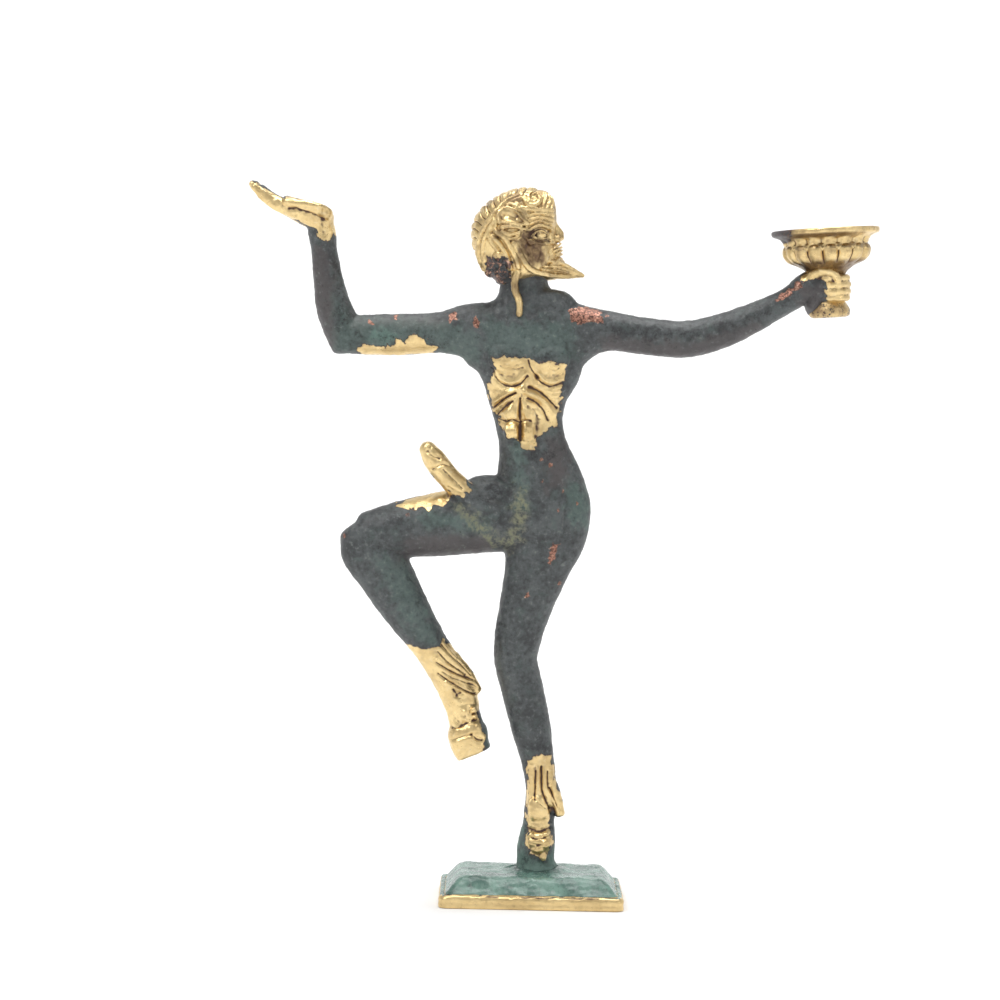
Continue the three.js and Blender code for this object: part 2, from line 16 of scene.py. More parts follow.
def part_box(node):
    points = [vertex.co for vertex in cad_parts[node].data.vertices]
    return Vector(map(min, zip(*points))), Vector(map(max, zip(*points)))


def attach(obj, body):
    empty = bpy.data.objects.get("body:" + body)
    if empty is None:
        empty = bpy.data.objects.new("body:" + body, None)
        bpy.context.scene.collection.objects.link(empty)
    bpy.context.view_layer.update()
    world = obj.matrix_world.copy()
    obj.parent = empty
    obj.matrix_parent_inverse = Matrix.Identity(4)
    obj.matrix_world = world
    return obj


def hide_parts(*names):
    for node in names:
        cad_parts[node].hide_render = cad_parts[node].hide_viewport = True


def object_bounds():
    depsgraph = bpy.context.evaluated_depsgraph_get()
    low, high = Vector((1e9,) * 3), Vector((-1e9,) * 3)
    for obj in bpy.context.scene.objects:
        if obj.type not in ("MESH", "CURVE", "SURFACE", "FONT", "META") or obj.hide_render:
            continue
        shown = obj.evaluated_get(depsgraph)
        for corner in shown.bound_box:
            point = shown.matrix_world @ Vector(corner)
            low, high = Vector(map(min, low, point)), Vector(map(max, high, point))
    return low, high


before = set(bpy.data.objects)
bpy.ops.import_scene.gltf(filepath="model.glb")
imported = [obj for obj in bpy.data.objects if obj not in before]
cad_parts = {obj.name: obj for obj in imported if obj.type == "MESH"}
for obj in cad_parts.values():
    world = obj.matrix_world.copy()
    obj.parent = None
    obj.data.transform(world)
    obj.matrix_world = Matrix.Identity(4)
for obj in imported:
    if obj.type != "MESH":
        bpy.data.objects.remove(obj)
CAD_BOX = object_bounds()
PLINTH_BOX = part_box("plinth")

bl_info = {
    "name": "Bronze satyr statuette",
    "version": (1, 0, 0),
    "blender": (4, 5, 0),
    "location": "3D View > Sidebar > Satyr",
    "description": "Makes a small cast bronze satyr with a cup, on its plinth",
    "category": "Add Mesh",
}

MM = 0.001
AXIS_X = np.array([1.0, 0.0, 0.0])
AXIS_Y = np.array([0.0, 1.0, 0.0])
AXIS_Z = np.array([0.0, 0.0, 1.0])
BOTH_SIDES = (-1, 1)

# Stations of the body. Each is x, z, half width, half depth, y, from one end of a limb to the
# other: half width lies in the XZ plane, square to the limb, and half depth along Y.

NECK_TO_STEM = [
    (-4.1, 133.0, 5.0, 4.2, 0.3),
    (-4.0, 127.6, 5.4, 4.3, 0.2),
    (-3.3, 124.3, 10.2, 4.4, 0),
    (-2.9, 119.5, 12.6, 5.3, 0),
    (-2.9, 115.6, 12.7, 5.8, 0),
    (-2.6, 110.6, 10.8, 5.7, 0),
    (-2.8, 105.6, 8.5, 5.1, 0),
    (-2.4, 100.6, 7.1, 4.5, 0.1),
    (-1.6, 95.6, 7.1, 4.5, 0.2),
    (-0.2, 88.6, 9.0, 5.6, 0.5),
    (0.9, 82.0, 10.0, 6.4, 0.9),
    (1.1, 76.5, 9.0, 6.0, 0.9),
    (-0.1, 70.0, 6.9, 5.3, 0.7),
    (-2.1, 62.5, 5.6, 4.8, 0.5),
    (-3.9, 54.5, 4.9, 4.4, 0.2),
    (-4.1, 50.1, 4.5, 4.2, 0),
    (-2.5, 43.8, 4.4, 4.4, 0.4),
    (-0.7, 36.4, 4.15, 4.3, 0.6),
    (0.9, 29.2, 3.45, 3.5, 0.3),
    (1.8, 22.9, 3.25, 3.2, 0),
    (1.6, 17.9, 3.35, 3.5, 0),
]

STANDING_HOOF = [
    (1.7, 19.2, 3.1, 3.2, 0),
    (1.4, 16.2, 3.3, 3.7, 0),
    (1.2, 13.4, 3.75, 4.3, -0.1),
    (0.9, 10.4, 3.95, 4.5, -0.1),
    (0.9, 8.0, 3.95, 4.4, 0),
    (1.1, 6.3, 4.6, 5.0, 0),
]

LEFT_UPPER_ARM = [
    (-5.0, 117.2, 8.6, 5.0, 0),
    (-11.9, 118.1, 7.5, 4.8, 0),
    (-15.6, 118.9, 5.9, 4.5, 0),
    (-21.4, 118.6, 4.3, 4.2, 0),
    (-30.0, 118.0, 4.35, 4.0, 0),
    (-38.2, 117.8, 4.1, 3.8, 0),
    (-42.3, 117.5, 3.5, 3.5, 0),
]

LEFT_FOREARM = [
    (-41.0, 115.4, 3.1, 3.2, 0),
    (-41.9, 119.1, 3.85, 3.6, 0),
    (-43.6, 123.3, 3.7, 3.7, 0),
    (-44.9, 129.0, 3.1, 3.4, 0),
    (-45.9, 135.4, 2.7, 3.0, 0),
    (-46.5, 139.2, 2.9, 3.2, 0),
    (-47.6, 142.2, 2.3, 3.4, 0),
]

LEFT_PALM = [
    (-44.9, 141.2, 1.9, 3.0, 0),
    (-47.6, 142.0, 2.6, 4.0, 0),
    (-51.0, 143.3, 2.4, 4.7, 0),
    (-54.4, 144.6, 1.9, 4.8, 0),
]

RIGHT_ARM = [
    (1.0, 117.2, 9.0, 5.0, 0),
    (6.0, 118.7, 7.4, 4.8, 0),
    (10.5, 119.5, 5.1, 4.5, 0),
    (14.5, 119.6, 4.1, 4.2, 0),
    (21.0, 118.8, 3.85, 3.9, 0),
    (30.0, 118.3, 3.85, 3.8, 0),
    (37.4, 120.2, 3.6, 3.7, 0),
    (44.0, 123.1, 3.1, 3.5, 0),
    (50.4, 126.5, 2.6, 3.1, 0),
    (55.0, 129.2, 2.9, 3.2, 0),
    (58.6, 129.6, 3.6, 3.5, 0),
]

RAISED_THIGH = [
    (5.0, 80.6, 7.6, 6.0, 0),
    (-4.8, 80.8, 7.7, 6.0, -0.2),
    (-12.2, 79.8, 7.1, 5.8, -0.5),
    (-20.5, 78.6, 6.7, 5.5, -0.8),
    (-28.9, 77.3, 5.9, 5.0, -1.0),
    (-35.0, 75.8, 5.3, 4.6, -1.1),
]

RAISED_SHIN = [
    (-36.9, 77.0, 4.9, 4.2, -1.1),
    (-35.2, 73.4, 6.3, 4.6, -1.1),
    (-31.8, 68.0, 5.8, 4.7, -1.0),
    (-28.2, 62.0, 5.1, 4.6, -0.9),
    (-22.7, 53.9, 3.9, 4.1, -0.8),
    (-19.2, 48.8, 3.8, 3.8, -0.8),
    (-16.0, 43.0, 3.8, 3.5, -0.8),
    (-14.7, 38.4, 3.45, 3.4, -0.8),
    (-14.0, 35.9, 3.6, 3.5, -0.8),
]

RAISED_HOOF = [
    (-14.3, 36.6, 3.6, 3.6, -0.8),
    (-14.0, 35.2, 4.15, 4.0, -0.8),
    (-13.5, 33.0, 4.05, 4.1, -0.8),
    (-12.5, 30.7, 3.7, 4.0, -0.8),
]

PHALLUS = [
    (-8.0, 80.8, 2.9, 2.8, -4.6),
    (-14.4, 84.6, 2.6, 2.6, -4.2),
    (-18.9, 88.5, 2.4, 2.4, -3.9),
    (-22.1, 92.4, 2.35, 2.4, -3.6),
    (-23.6, 94.6, 1.7, 1.8, -3.5),
]

# The head from the jaw up: height, back, front and half breadth of each level section

HEAD_LEVELS = [
    (129.6, -10.0, -2.0, 3.6),
    (131.2, -11.7, 0.6, 5.2),
    (133.6, -13.7, 2.3, 6.3),
    (136.4, -15.0, 2.8, 6.8),
    (139.4, -15.4, 2.3, 7.0),
    (142.0, -15.0, 2.4, 6.9),
    (144.6, -13.5, 2.3, 6.4),
    (146.8, -11.0, 1.7, 5.3),
    (148.3, -8.3, 0.3, 3.7),
    (148.9, -6.4, -1.6, 2.2),
]
HEAD_SQUARENESS = 2.15

# Where junctions of limbs are rounded out, as metal flows: x, z and reach

JUNCTIONS = [
    (-14.0, 116.0, 9.0),
    (9.0, 116.5, 9.0),
    (-9.0, 125.0, 5.0),
    (2.5, 125.0, 5.0),
    (-10.0, 84.0, 9.0),
    (-14.5, 88.0, 4.5),
    (-6.5, 74.0, 6.0),
    (0.0, 80.0, 10.0),
    (-36.5, 77.0, 10.0),
    (-41.0, 117.5, 5.5),
    (-46.5, 140.5, 4.0),
    (55.0, 128.5, 3.5),
    (-14.3, 37.5, 2.5),
    (1.6, 18.5, 2.5),
    (-15.0, 85.0, 4.0),
]

# The cup, along its own axis from the underside of its foot

CUP_FOOT_PLACE = (59.8, 0.0, 123.4)
CUP_LEAN = -4.2
CUP_STEM_RADIUS = 3.4
CUP_FOOT_RADIUS = 4.2
CUP_BOWL_RADIUS = 8.9
CUP_WALL = 1.1


# Curves and closed forms

def unit(vectors):
    return vectors / np.maximum(np.linalg.norm(vectors, axis=-1, keepdims=True), 1e-9)


def smooth(low, high, values):
    """A soft step: 0 up to `low`, 1 from `high`, with level ends between them."""
    t = np.clip((values - low) / (high - low), 0, 1)
    return t * t * (3 - 2 * t)


def curve_through(points, count, even_knots=False):
    """A Catmull-Rom curve through the points: `count` places spread evenly over its spans. Knots
    lie the square root of each span's length apart, or evenly."""
    points = np.asarray(points, float)
    ends = np.vstack([2 * points[0] - points[1], points, 2 * points[-1] - points[-2]])
    t = np.linspace(0, len(points) - 1, count)
    span = np.minimum(t.astype(int), len(points) - 2)
    u = (t - span)[:, None]
    p0, p1, p2, p3 = (ends[span + k] for k in range(4))
    if even_knots:
        d0 = d1 = d2 = np.ones((count, 1))
    else:
        d0, d1, d2 = (np.sqrt(np.linalg.norm(b - a, axis=1, keepdims=True) + 1e-9)
                      for a, b in ((p0, p1), (p1, p2), (p2, p3)))
    start = ((p1 - p0) / d0 - (p2 - p0) / (d0 + d1) + (p2 - p1) / d1) * d1
    end = ((p2 - p1) / d1 - (p3 - p1) / (d1 + d2) + (p3 - p2) / d2) * d1
    return (p1 + start * u + (3 * (p2 - p1) - 2 * start - end) * u ** 2
            + (2 * (p1 - p2) + start + end) * u ** 3)


def superellipse(sides, squareness):
    """Places round a section from -1 to 1: an ellipse at squareness 2, boxier above."""
    angle = 2 * np.pi * (np.arange(sides) + 0.5) / sides
    power = 2 / squareness
    return (np.sign(np.cos(angle)) * np.abs(np.cos(angle)) ** power,
            np.sign(np.sin(angle)) * np.abs(np.sin(angle)) ** power)


def closed_grid(grid, first_tip, last_tip):
    """A form from rings of points, each ring joined to the next and each end closed by a tip."""
    rings, sides = grid.shape[:2]
    points = np.vstack([first_tip, grid.reshape(-1, 3), last_tip])
    number = 1 + np.arange(rings * sides).reshape(rings, sides)
    beside = np.roll(number, -1, axis=1)
    quads = np.stack([number[:-1], beside[:-1], beside[1:], number[1:]], -1).reshape(-1, 4)
    first = np.stack([np.zeros(sides, int), beside[0], number[0]], -1)
    last = np.stack([np.full(sides, len(points) - 1), number[-1], beside[-1]], -1)
    return points, [quads, first, last]


def tube(places, sizes, across=AXIS_Y, side=None, sides=28, squareness=2.0, domes=(0, 0), steps=6):
    """A closed body carried along a smooth curve through `places`. Its section is a superellipse
    with half width sizes[:, 0] square to the path and to `across`, and half depth sizes[:, 1]
    along `across`. Each end shrinks by the cosine while it moves on by the sine of a quarter turn,
    times the dome's length."""
    count = (len(places) - 1) * steps + 1
    path = curve_through(places, count) if steps > 1 else np.asarray(places, float)
    size = curve_through(sizes, count, even_knots=True) if steps > 1 else np.asarray(sizes, float)
    tangent = unit(np.gradient(path, axis=0))
    out = unit(np.cross(tangent, across)) if side is None else np.tile(side, (count, 1))
    turn = np.linspace(0, np.pi / 2, 6)[1:-1]
    ends = (path[0] - tangent[0] * domes[0] * np.sin(turn)[::-1, None],
            path[-1] + tangent[-1] * domes[1] * np.sin(turn)[:, None])
    centres = np.vstack([ends[0], path, ends[1]])
    row = np.r_[np.zeros(len(turn), int), np.arange(count), np.full(len(turn), count - 1)]
    scale = np.r_[np.cos(turn)[::-1], np.ones(count), np.cos(turn)]
    u, v = superellipse(sides, squareness)
    width = (size[row, 0] * scale)[:, None, None] * u[None, :, None] * out[row][:, None]
    depth = (size[row, 1] * scale)[:, None, None] * v[None, :, None] * np.asarray(across)
    return closed_grid(centres[:, None] + width + depth,
                       path[0] - tangent[0] * domes[0], path[-1] + tangent[-1] * domes[1])


def limb(stations, **options):
    """A tube through stations of x, z, half width, half depth and y."""
    rows = np.array(stations, float)
    return tube(rows[:, [0, 4, 1]], rows[:, [2, 3]], **options)


def rod(points, radius, tip=1.0, start=1.0, flat=1.0, **options):
    """A round tube through the points, whose radius runs from `start` to `tip` times the given
    one and whose depth is `flat` times its width."""
    points = np.asarray(points, float)
    widths = radius * np.linspace(start, tip, len(points))
    options = {"sides": 12, "domes": (widths[0], widths[-1]), **options}
    return tube(points, np.stack([widths, widths * flat], -1), **options)


def ball(place, radii, turn=0.0):
    """An ellipsoid at `place` with radii along X, Y and Z, turned about Y by `turn` degrees."""
    level = np.linspace(0, np.pi, 14)[1:-1, None]
    round_angle = np.linspace(0, 2 * np.pi, 21)[None, :-1]
    grid = np.stack([np.sin(level) * np.cos(round_angle), np.sin(level) * np.sin(round_angle),
                     np.broadcast_to(np.cos(level), (12, 20))], -1)
    points, faces = closed_grid(grid, np.array([0, 0, 1.0]), np.array([0, 0, -1.0]))
    return turned_about_y(points * np.asarray(radii), turn) + np.asarray(place, float), faces


def turned_about_y(points, degrees):
    c = math.cos(math.radians(degrees))
    s = math.sin(math.radians(degrees))
    return points @ np.array([[c, 0, -s], [0, 1, 0], [s, 0, c]])


def joined(forms):
    """All forms as one: their points stacked and their faces renumbered."""
    starts = np.cumsum([0] + [len(points) for points, _ in forms[:-1]])
    faces = [part + start for (_, parts), start in zip(forms, starts) for part in parts]
    return np.vstack([points for points, _ in forms]), faces


# Meshes and skins

def mesh_of(name, points, faces, scale=1.0):
    mesh = bpy.data.meshes.new(name)
    mesh.from_pydata(points * scale, [], [row for part in faces for row in part.tolist()])
    mesh.update()
    return mesh


def modified(mesh, kind, **settings):
    """The mesh after one modifier of that kind, as a new mesh."""
    holder = bpy.data.objects.new("holder", mesh)
    bpy.context.scene.collection.objects.link(holder)
    modifier = holder.modifiers.new("step", kind)
    for name, value in settings.items():
        setattr(modifier, name, value)
    graph = bpy.context.evaluated_depsgraph_get()
    result = bpy.data.meshes.new_from_object(holder.evaluated_get(graph))
    bpy.data.objects.remove(holder)
    bpy.data.meshes.remove(mesh)
    return result


def points_of(mesh):
    flat = np.empty(len(mesh.vertices) * 3, np.float32)
    mesh.vertices.foreach_get("co", flat)
    return flat.reshape(-1, 3).astype(float)


def corners_of(mesh):
    """The corners of every face, as pairs of a point and the next one round the face."""
    corner = np.empty(len(mesh.loops), np.int32)
    mesh.loops.foreach_get("vertex_index", corner)
    total = np.empty(len(mesh.polygons), np.int32)
    mesh.polygons.foreach_get("loop_total", total)
    start = np.cumsum(total) - total
    following = np.arange(1, len(corner) + 1)
    following[start + total - 1] = start
    return corner, corner[following]


class Skin:
    """One closed skin round all forms, as metal fills a mould, that can be worked further."""

    def __init__(self, forms, grain):
        self.mesh = modified(mesh_of("skin", *joined(forms)), "REMESH", mode="VOXEL",
                             voxel_size=grain, use_smooth_shade=True)
        self.load()

    def load(self):
        self.points = points_of(self.mesh)
        self.here, self.there = corners_of(self.mesh)
        self.degree = np.bincount(self.here, minlength=len(self.points))[:, None]

    def around(self, values):
        """The mean of each point's neighbours."""
        total = np.stack([np.bincount(self.here, column[self.there], len(values))
                          for column in values.T], -1)
        return total / self.degree

    def relax(self, rounds, weight=1.0, keep_volume=True):
        """Moves each point half way to the mean of its neighbours, and a little more than that
        back out again every second time, so that the body doesn't shrink."""
        for turn in range(rounds):
            share = 0.5 if turn % 2 == 0 or not keep_volume else -0.52
            self.points += (self.around(self.points) - self.points) * share * weight

    def write(self):
        self.mesh.vertices.foreach_set("co", self.points.astype(np.float32).ravel())
        self.mesh.update()


def skin_normals(skin):
    """Each point's normal, as the mesh gives it."""
    skin.write()
    flat = np.empty(len(skin.points) * 3, np.float32)
    skin.mesh.vertex_normals.foreach_get("vector", flat)
    return flat.reshape(-1, 3).astype(float)


def waves(points, size, seed):
    """Soft random relief between about -1 and 1: the sum of thirty sine waves of about `size`
    in length, whose directions and phases the seed gives."""
    random = np.random.default_rng(seed)
    number = 30
    direction = unit(random.normal(size=(number, 3)))
    pace = 2 * np.pi / (size * random.uniform(0.7, 1.6, number))
    phase = random.uniform(0, 2 * np.pi, number)
    return np.sin(points @ (direction * pace[:, None]).T + phase).sum(1) / (number * 0.5) ** 0.5 / 1.6


def distance_to_line(places, line):
    """How far each [x, z] is from the straight pieces of a line."""
    nearest = np.full(len(places), np.inf)
    for start, end in zip(line[:-1], line[1:]):
        run = end - start
        t = np.clip(((places - start) @ run) / max(run @ run, 1e-9), 0, 1)
        nearest = np.minimum(nearest, np.linalg.norm(places - start - t[:, None] * run, axis=1))
    return nearest


def inside(places, outline):
    """How deep each [x, z] lies inside a closed outline, negative outside it."""
    outline = np.asarray(outline, float)
    closed = np.vstack([outline, outline[:1]])
    depth = distance_to_line(places, closed)
    x, z = places.T
    odd = np.zeros(len(places), bool)
    for (x0, z0), (x1, z1) in zip(closed[:-1], closed[1:]):
        crosses = (z0 > z) != (z1 > z)
        odd ^= crosses & (x < (x1 - x0) * (z - z0) / (z1 - z0 + 1e-12) + x0)
    return np.where(odd, depth, -depth)


def drawn_relief(points, lines):
    """The height that drawn lines add at each point: each line's height times a bell curve of the
    distance from it."""
    places = points[:, [0, 2]]
    height = np.zeros(len(points))
    for line, width, rise in lines:
        path = curve_through(line, 8 * len(line))
        low, high = path.min(0) - 3 * width, path.max(0) + 3 * width
        near = np.nonzero(np.all((places > low) & (places < high), axis=1))[0]
        if len(near):
            reach = distance_to_line(places[near], path)
            height[near] += rise * np.exp(-(reach / width) ** 2)
    return height


# Finishes: node expressions for aged bronze

MASKS = ("polish", "copper", "green", "olive", "brown", "char", "hollow")


class Wire:
    """A node's output in an expression: + - * add Math nodes, and numbers may stand left."""

    def __init__(self, finish, socket):
        self.finish = finish
        self.socket = socket

    def maths(self, operation, first, second, clamp=False):
        return self.finish.add("ShaderNodeMath", {"operation": operation, "use_clamp": clamp},
                               {0: first, 1: second})

    def __add__(self, other):
        return self.maths("ADD", self, other)

    def __radd__(self, other):
        return self.maths("ADD", other, self)

    def __sub__(self, other):
        return self.maths("SUBTRACT", self, other)

    def __rsub__(self, other):
        return self.maths("SUBTRACT", other, self)

    def __mul__(self, other):
        return self.maths("MULTIPLY", self, other)

    def __rmul__(self, other):
        return self.maths("MULTIPLY", other, self)

    def highest(self, other):
        return self.maths("MAXIMUM", self, other)

    def clamped(self):
        return self.maths("ADD", self, 0.0, clamp=True)


class Finish:
    """A material and the nodes that feed its shader."""

    def __init__(self, name):
        self.material = bpy.data.materials.new(name)
        self.material.use_nodes = True
        self.tree = self.material.node_tree
        self.shader = self.tree.nodes["Principled BSDF"]
        self.place = self.add("ShaderNodeTexCoord", {}, {}, "Object")

    def add(self, kind, settings, values, output=0):
        """A node of that kind: its settings first, then the values or wires of its sockets."""
        node = self.tree.nodes.new(kind)
        for name, value in settings.items():
            setattr(node, name, value)
        for name, value in values.items():
            self.feed(node.inputs[name], value)
        return Wire(self, node.outputs[output])

    def feed(self, socket, value):
        if isinstance(value, Wire):
            self.tree.links.new(value.socket, socket)
        else:
            socket.default_value = value

    def mask(self, name):
        return self.add("ShaderNodeAttribute", {"attribute_name": name}, {}, "Fac")

    def grain(self, size, detail=4.0, roughness=0.55, seed=0.0):
        """Noise of about `size` millimetres, from 0 to 1."""
        return self.add("ShaderNodeTexNoise", {"noise_dimensions": "4D"}, {
            "Vector": self.place, "W": seed, "Scale": 1 / (size * MM * 2), "Detail": detail,
            "Roughness": roughness})

    def step(self, value, low, high):
        return self.add("ShaderNodeMapRange", {"interpolation_type": "SMOOTHSTEP"},
                        {"Value": value, "From Min": low, "From Max": high})

    def mix(self, share, first, second):
        """A colour between two: `share` 0 gives the first, 1 the second."""
        first, second = (tuple(c) + (1.0,) if not isinstance(c, Wire) else c
                         for c in (first, second))
        return self.add("ShaderNodeMix", {"data_type": "RGBA"}, {0: share, 6: first, 7: second}, 2)

    def bump(self, height, distance, strength=1.0, normal=None):
        values = {"Height": height, "Distance": distance * MM, "Strength": strength}
        if normal is not None:
            values["Normal"] = normal
        return self.add("ShaderNodeBump", {}, values)


def aged_bronze(name, colours, soil, seed=0.0):
    """Dark patina, green in places, rubbed through to bright metal where the masks say so. Colour,
    gloss and grain all follow the same noise and the masks of the mesh. `soil` is the share of
    dirt that stays on the bright metal."""
    f = Finish(name)
    polish, copper, green, olive, brown, char, hollow = (f.mask(mask) for mask in MASKS)
    cloud = f.grain(2.6, 5, 0.6, seed)
    fleck = f.grain(0.5, 6, 0.68, seed + 3)
    fine = f.grain(0.2, 4, 0.65, seed + 7)
    blotch = f.grain(1.1, 6, 0.72, seed + 11)
    sunk = f.step(hollow, 0.2, 1.6)

    dark = f.mix(f.step(0.5 * cloud + 0.5 * fleck, 0.4, 0.6), colours.patina_dark, colours.patina_slate)
    dark = f.mix(f.step(blotch, 0.5, 0.68) * 0.55, dark, colours.patina_green)
    dark = f.mix((brown * (0.35 + 0.9 * cloud)).clamped(), dark, colours.plum)
    dark = f.mix((green * (0.3 + 1.1 * fleck)).clamped(), dark, colours.verdigris)
    dark = f.mix(f.step(fleck, 0.56, 0.74) * 0.7, dark, colours.patina_pale)
    dark = f.mix((char * f.step(blotch + 0.4 * fine, 0.78, 0.5)).clamped(), dark, colours.patina_black)
    dark = f.mix((olive * f.step(fleck, 0.4, 0.58)).clamped(), dark, colours.olive)
    dark = f.mix(f.step(0.5 * fine + 0.5 * fleck, 0.44, 0.36) * 0.6, dark, colours.patina_black)
    dark = f.mix(sunk * 0.6, dark, colours.patina_black)

    edge = polish + (cloud - 0.5) * 0.5 + (fleck - 0.5) * 0.8 + (fine - 0.5) * 0.4
    bare = f.step(edge, 0.45, 0.55)
    fringe = f.step(edge, 0.16, 0.42) * (1.0 - bare)
    dirt = (f.step(blotch, 0.46, 0.66) * soil + f.step(edge, 0.95, 0.55) * 0.35).clamped()
    gold = f.mix(f.step(cloud, 0.38, 0.6), colours.gold_deep, colours.gold)
    gold = f.mix(f.step(fleck, 0.52, 0.7) * 0.4, gold, colours.gold_pale)
    gold = f.mix((dirt * (0.5 + 0.7 * fleck)).clamped(), gold, colours.tarnish)
    gold = f.mix((brown * (0.5 + 0.8 * fleck)).clamped(), gold, colours.recess)
    gold = f.mix(sunk, gold, colours.recess)

    copper_edge = copper + (fleck - 0.5) * 1.5 + (cloud - 0.5) * 0.4
    red_share = f.step(copper_edge, 0.5, 0.72) * (1.0 - bare)
    red_metal = f.mix(f.step(fine, 0.4, 0.6), colours.recess, colours.copper)
    red_metal = f.mix(f.step(fleck, 0.56, 0.66), red_metal, colours.copper_pale)
    crust = f.mix(f.step(fine, 0.48, 0.6), colours.patina_black, colours.rust)

    base = f.mix(fringe * 0.9, dark, crust)
    base = f.mix(red_share, base, red_metal)
    base = f.mix(bare, base, gold)
    metal = (bare * (1.0 - 0.6 * sunk) * (1.0 - 0.35 * dirt)).highest(red_share * 0.6)
    f.feed(f.shader.inputs["Base Color"], base)
    f.feed(f.shader.inputs["Metallic"], metal)
    rough_dark = 0.3 + 0.3 * fleck + 0.2 * green
    rough_gold = 0.18 + 0.22 * fleck + 0.3 * sunk + 0.15 * dirt
    f.feed(f.shader.inputs["Roughness"], rough_dark * (1.0 - metal) + rough_gold * metal)
    pits = f.bump(fleck, 0.16, 0.7)
    f.feed(f.shader.inputs["Normal"], f.bump(fine, 0.05, 0.55, pits))
    return f.material


def plinth_finish(colours):
    """Green patina on the slopes, darker in clouds, and worn metal where the rim mask says so.
    Its gloss lets the slopes turn pale where they are seen at a glancing angle."""
    f = Finish("plinth_bronze")
    polish, hollow, brown, char = (f.mask(name) for name in ("polish", "hollow", "brown", "char"))
    cloud = f.grain(2.8, 5, 0.6, 40.0)
    fleck = f.grain(0.5, 6, 0.68, 43.0)
    fine = f.grain(0.2, 4, 0.65, 47.0)
    green = f.mix(f.step(cloud, 0.38, 0.62), colours.verdigris_deep, colours.plinth_green)
    green = f.mix(f.step(fleck, 0.52, 0.72) * 0.6, green, colours.patina_pale)
    green = f.mix(f.step(f.grain(1.0, 6, 0.72, 51.0), 0.55, 0.7) * 0.55, green, colours.patina_slate)
    green = f.mix((char * (0.2 + 1.2 * fleck)).clamped(), green, colours.patina_black)
    green = f.mix(f.step(0.5 * fine + 0.5 * fleck, 0.44, 0.37) * 0.6, green, colours.patina_dark)
    edge = polish + (fleck - 0.5) * 0.5 + (cloud - 0.5) * 0.25
    bare = f.step(edge, 0.45, 0.56)
    fringe = f.step(edge, 0.2, 0.43) * (1.0 - bare)
    gold = f.mix(f.step(cloud, 0.36, 0.62), colours.gold_deep, colours.gold)
    gold = f.mix(f.step(fleck, 0.5, 0.7) * 0.35, gold, colours.tarnish)
    gold = f.mix(f.step(hollow + 1.6 * brown, 0.3, 1.4), gold, colours.recess)
    base = f.mix(fringe * 0.85, green, colours.recess)
    f.feed(f.shader.inputs["Base Color"], f.mix(bare, base, gold))
    f.feed(f.shader.inputs["Metallic"], bare * (1.0 - 0.7 * brown))
    f.feed(f.shader.inputs["Roughness"], (0.16 + 0.2 * fleck) * (1.0 - bare)
           + (0.24 + 0.26 * fleck) * bare)
    pits = f.bump(fleck, 0.1, 0.5)
    f.feed(f.shader.inputs["Normal"], f.bump(fine, 0.03, 0.4, pits))
    return f.material


# Finished pieces

def hollowness(points, here, there):
    """From each point to the surface that eight rounds of averaging with the neighbours give."""
    degree = np.bincount(here, minlength=len(points))[:, None]
    level = points.copy()
    for _ in range(8):
        total = np.stack([np.bincount(here, column[there], len(points)) for column in level.T], -1)
        level += (total / degree - level) * 0.8
    return level - points


def finished(name, mesh, masks, material, replaced):
    """A visible piece: masks written on the mesh, smooth shading, one material, riding on the
    part's only body."""
    points = np.clip(points_of(mesh) * MM, CAD_BOX[0], CAD_BOX[1])
    mesh.vertices.foreach_set("co", points.astype(np.float32).ravel())
    for mask, values in masks.items():
        layer = mesh.attributes.new(mask, "FLOAT", "POINT")
        layer.data.foreach_set("value", np.asarray(values, np.float32))
    mesh.shade_smooth()
    mesh.update()
    mesh.name = name
    piece = bpy.data.objects.new(name, mesh)
    bpy.context.scene.collection.objects.link(piece)
    mesh.materials.clear()
    mesh.materials.append(material)
    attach(piece, "root")
    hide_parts(replaced)
    return piece


def thinned(mesh, most_triangles):
    """The mesh with its flattest parts simplified until it has that many triangles."""
    triangles = sum_triangles(mesh)
    if triangles <= most_triangles:
        return mesh
    return modified(mesh, "DECIMATE", ratio=most_triangles / triangles)


def sum_triangles(mesh):
    total = np.empty(len(mesh.polygons), np.int32)
    mesh.polygons.foreach_get("loop_total", total)
    return int((total - 2).sum())


def masks_for(mesh, regions):
    """Every mask of a mesh: `regions` is a function that takes points and normals and gives
    polish, copper, green, olive and brown; hollow is worked out from the shape itself."""
    points = points_of(mesh)
    flat = np.empty(len(points) * 3, np.float32)
    mesh.vertex_normals.foreach_get("vector", flat)
    normals = flat.reshape(-1, 3).astype(float)
    here, there = corners_of(mesh)
    below = (hollowness(points, here, there) * normals).sum(1)
    masks = regions(points, normals)
    masks["hollow"] = below / 0.1
    return masks


# The body

def torso_relief_forms():
    """Low swellings: pectorals, belly, groin and seat, as ellipsoids sunk in the torso."""
    forms = [ball((x, -4.9, 113.3), (4.3, 1.5, 3.1), turn) for x, turn in ((-7.1, 6), (1.5, -6))]
    forms += [ball((-4.3 + side * 1.8, -3.8, z), (1.75, 1.25, 1.9))
              for side in BOTH_SIDES for z in (102.2, 98.3)]
    forms.append(ball((-10.4, -1.2, 84.4), (7.2, 4.6, 4.8)))
    forms += [ball((x, 4.0, z), (5.0, 3.6, 5.4)) for x, z in ((-3.4, 81.0), (5.2, 80.4))]
    forms += [ball((x, 4.2, 116.5), (4.6, 1.9, 5.0), turn) for x, turn in ((-8.4, -12), (2.6, 12))]
    return forms


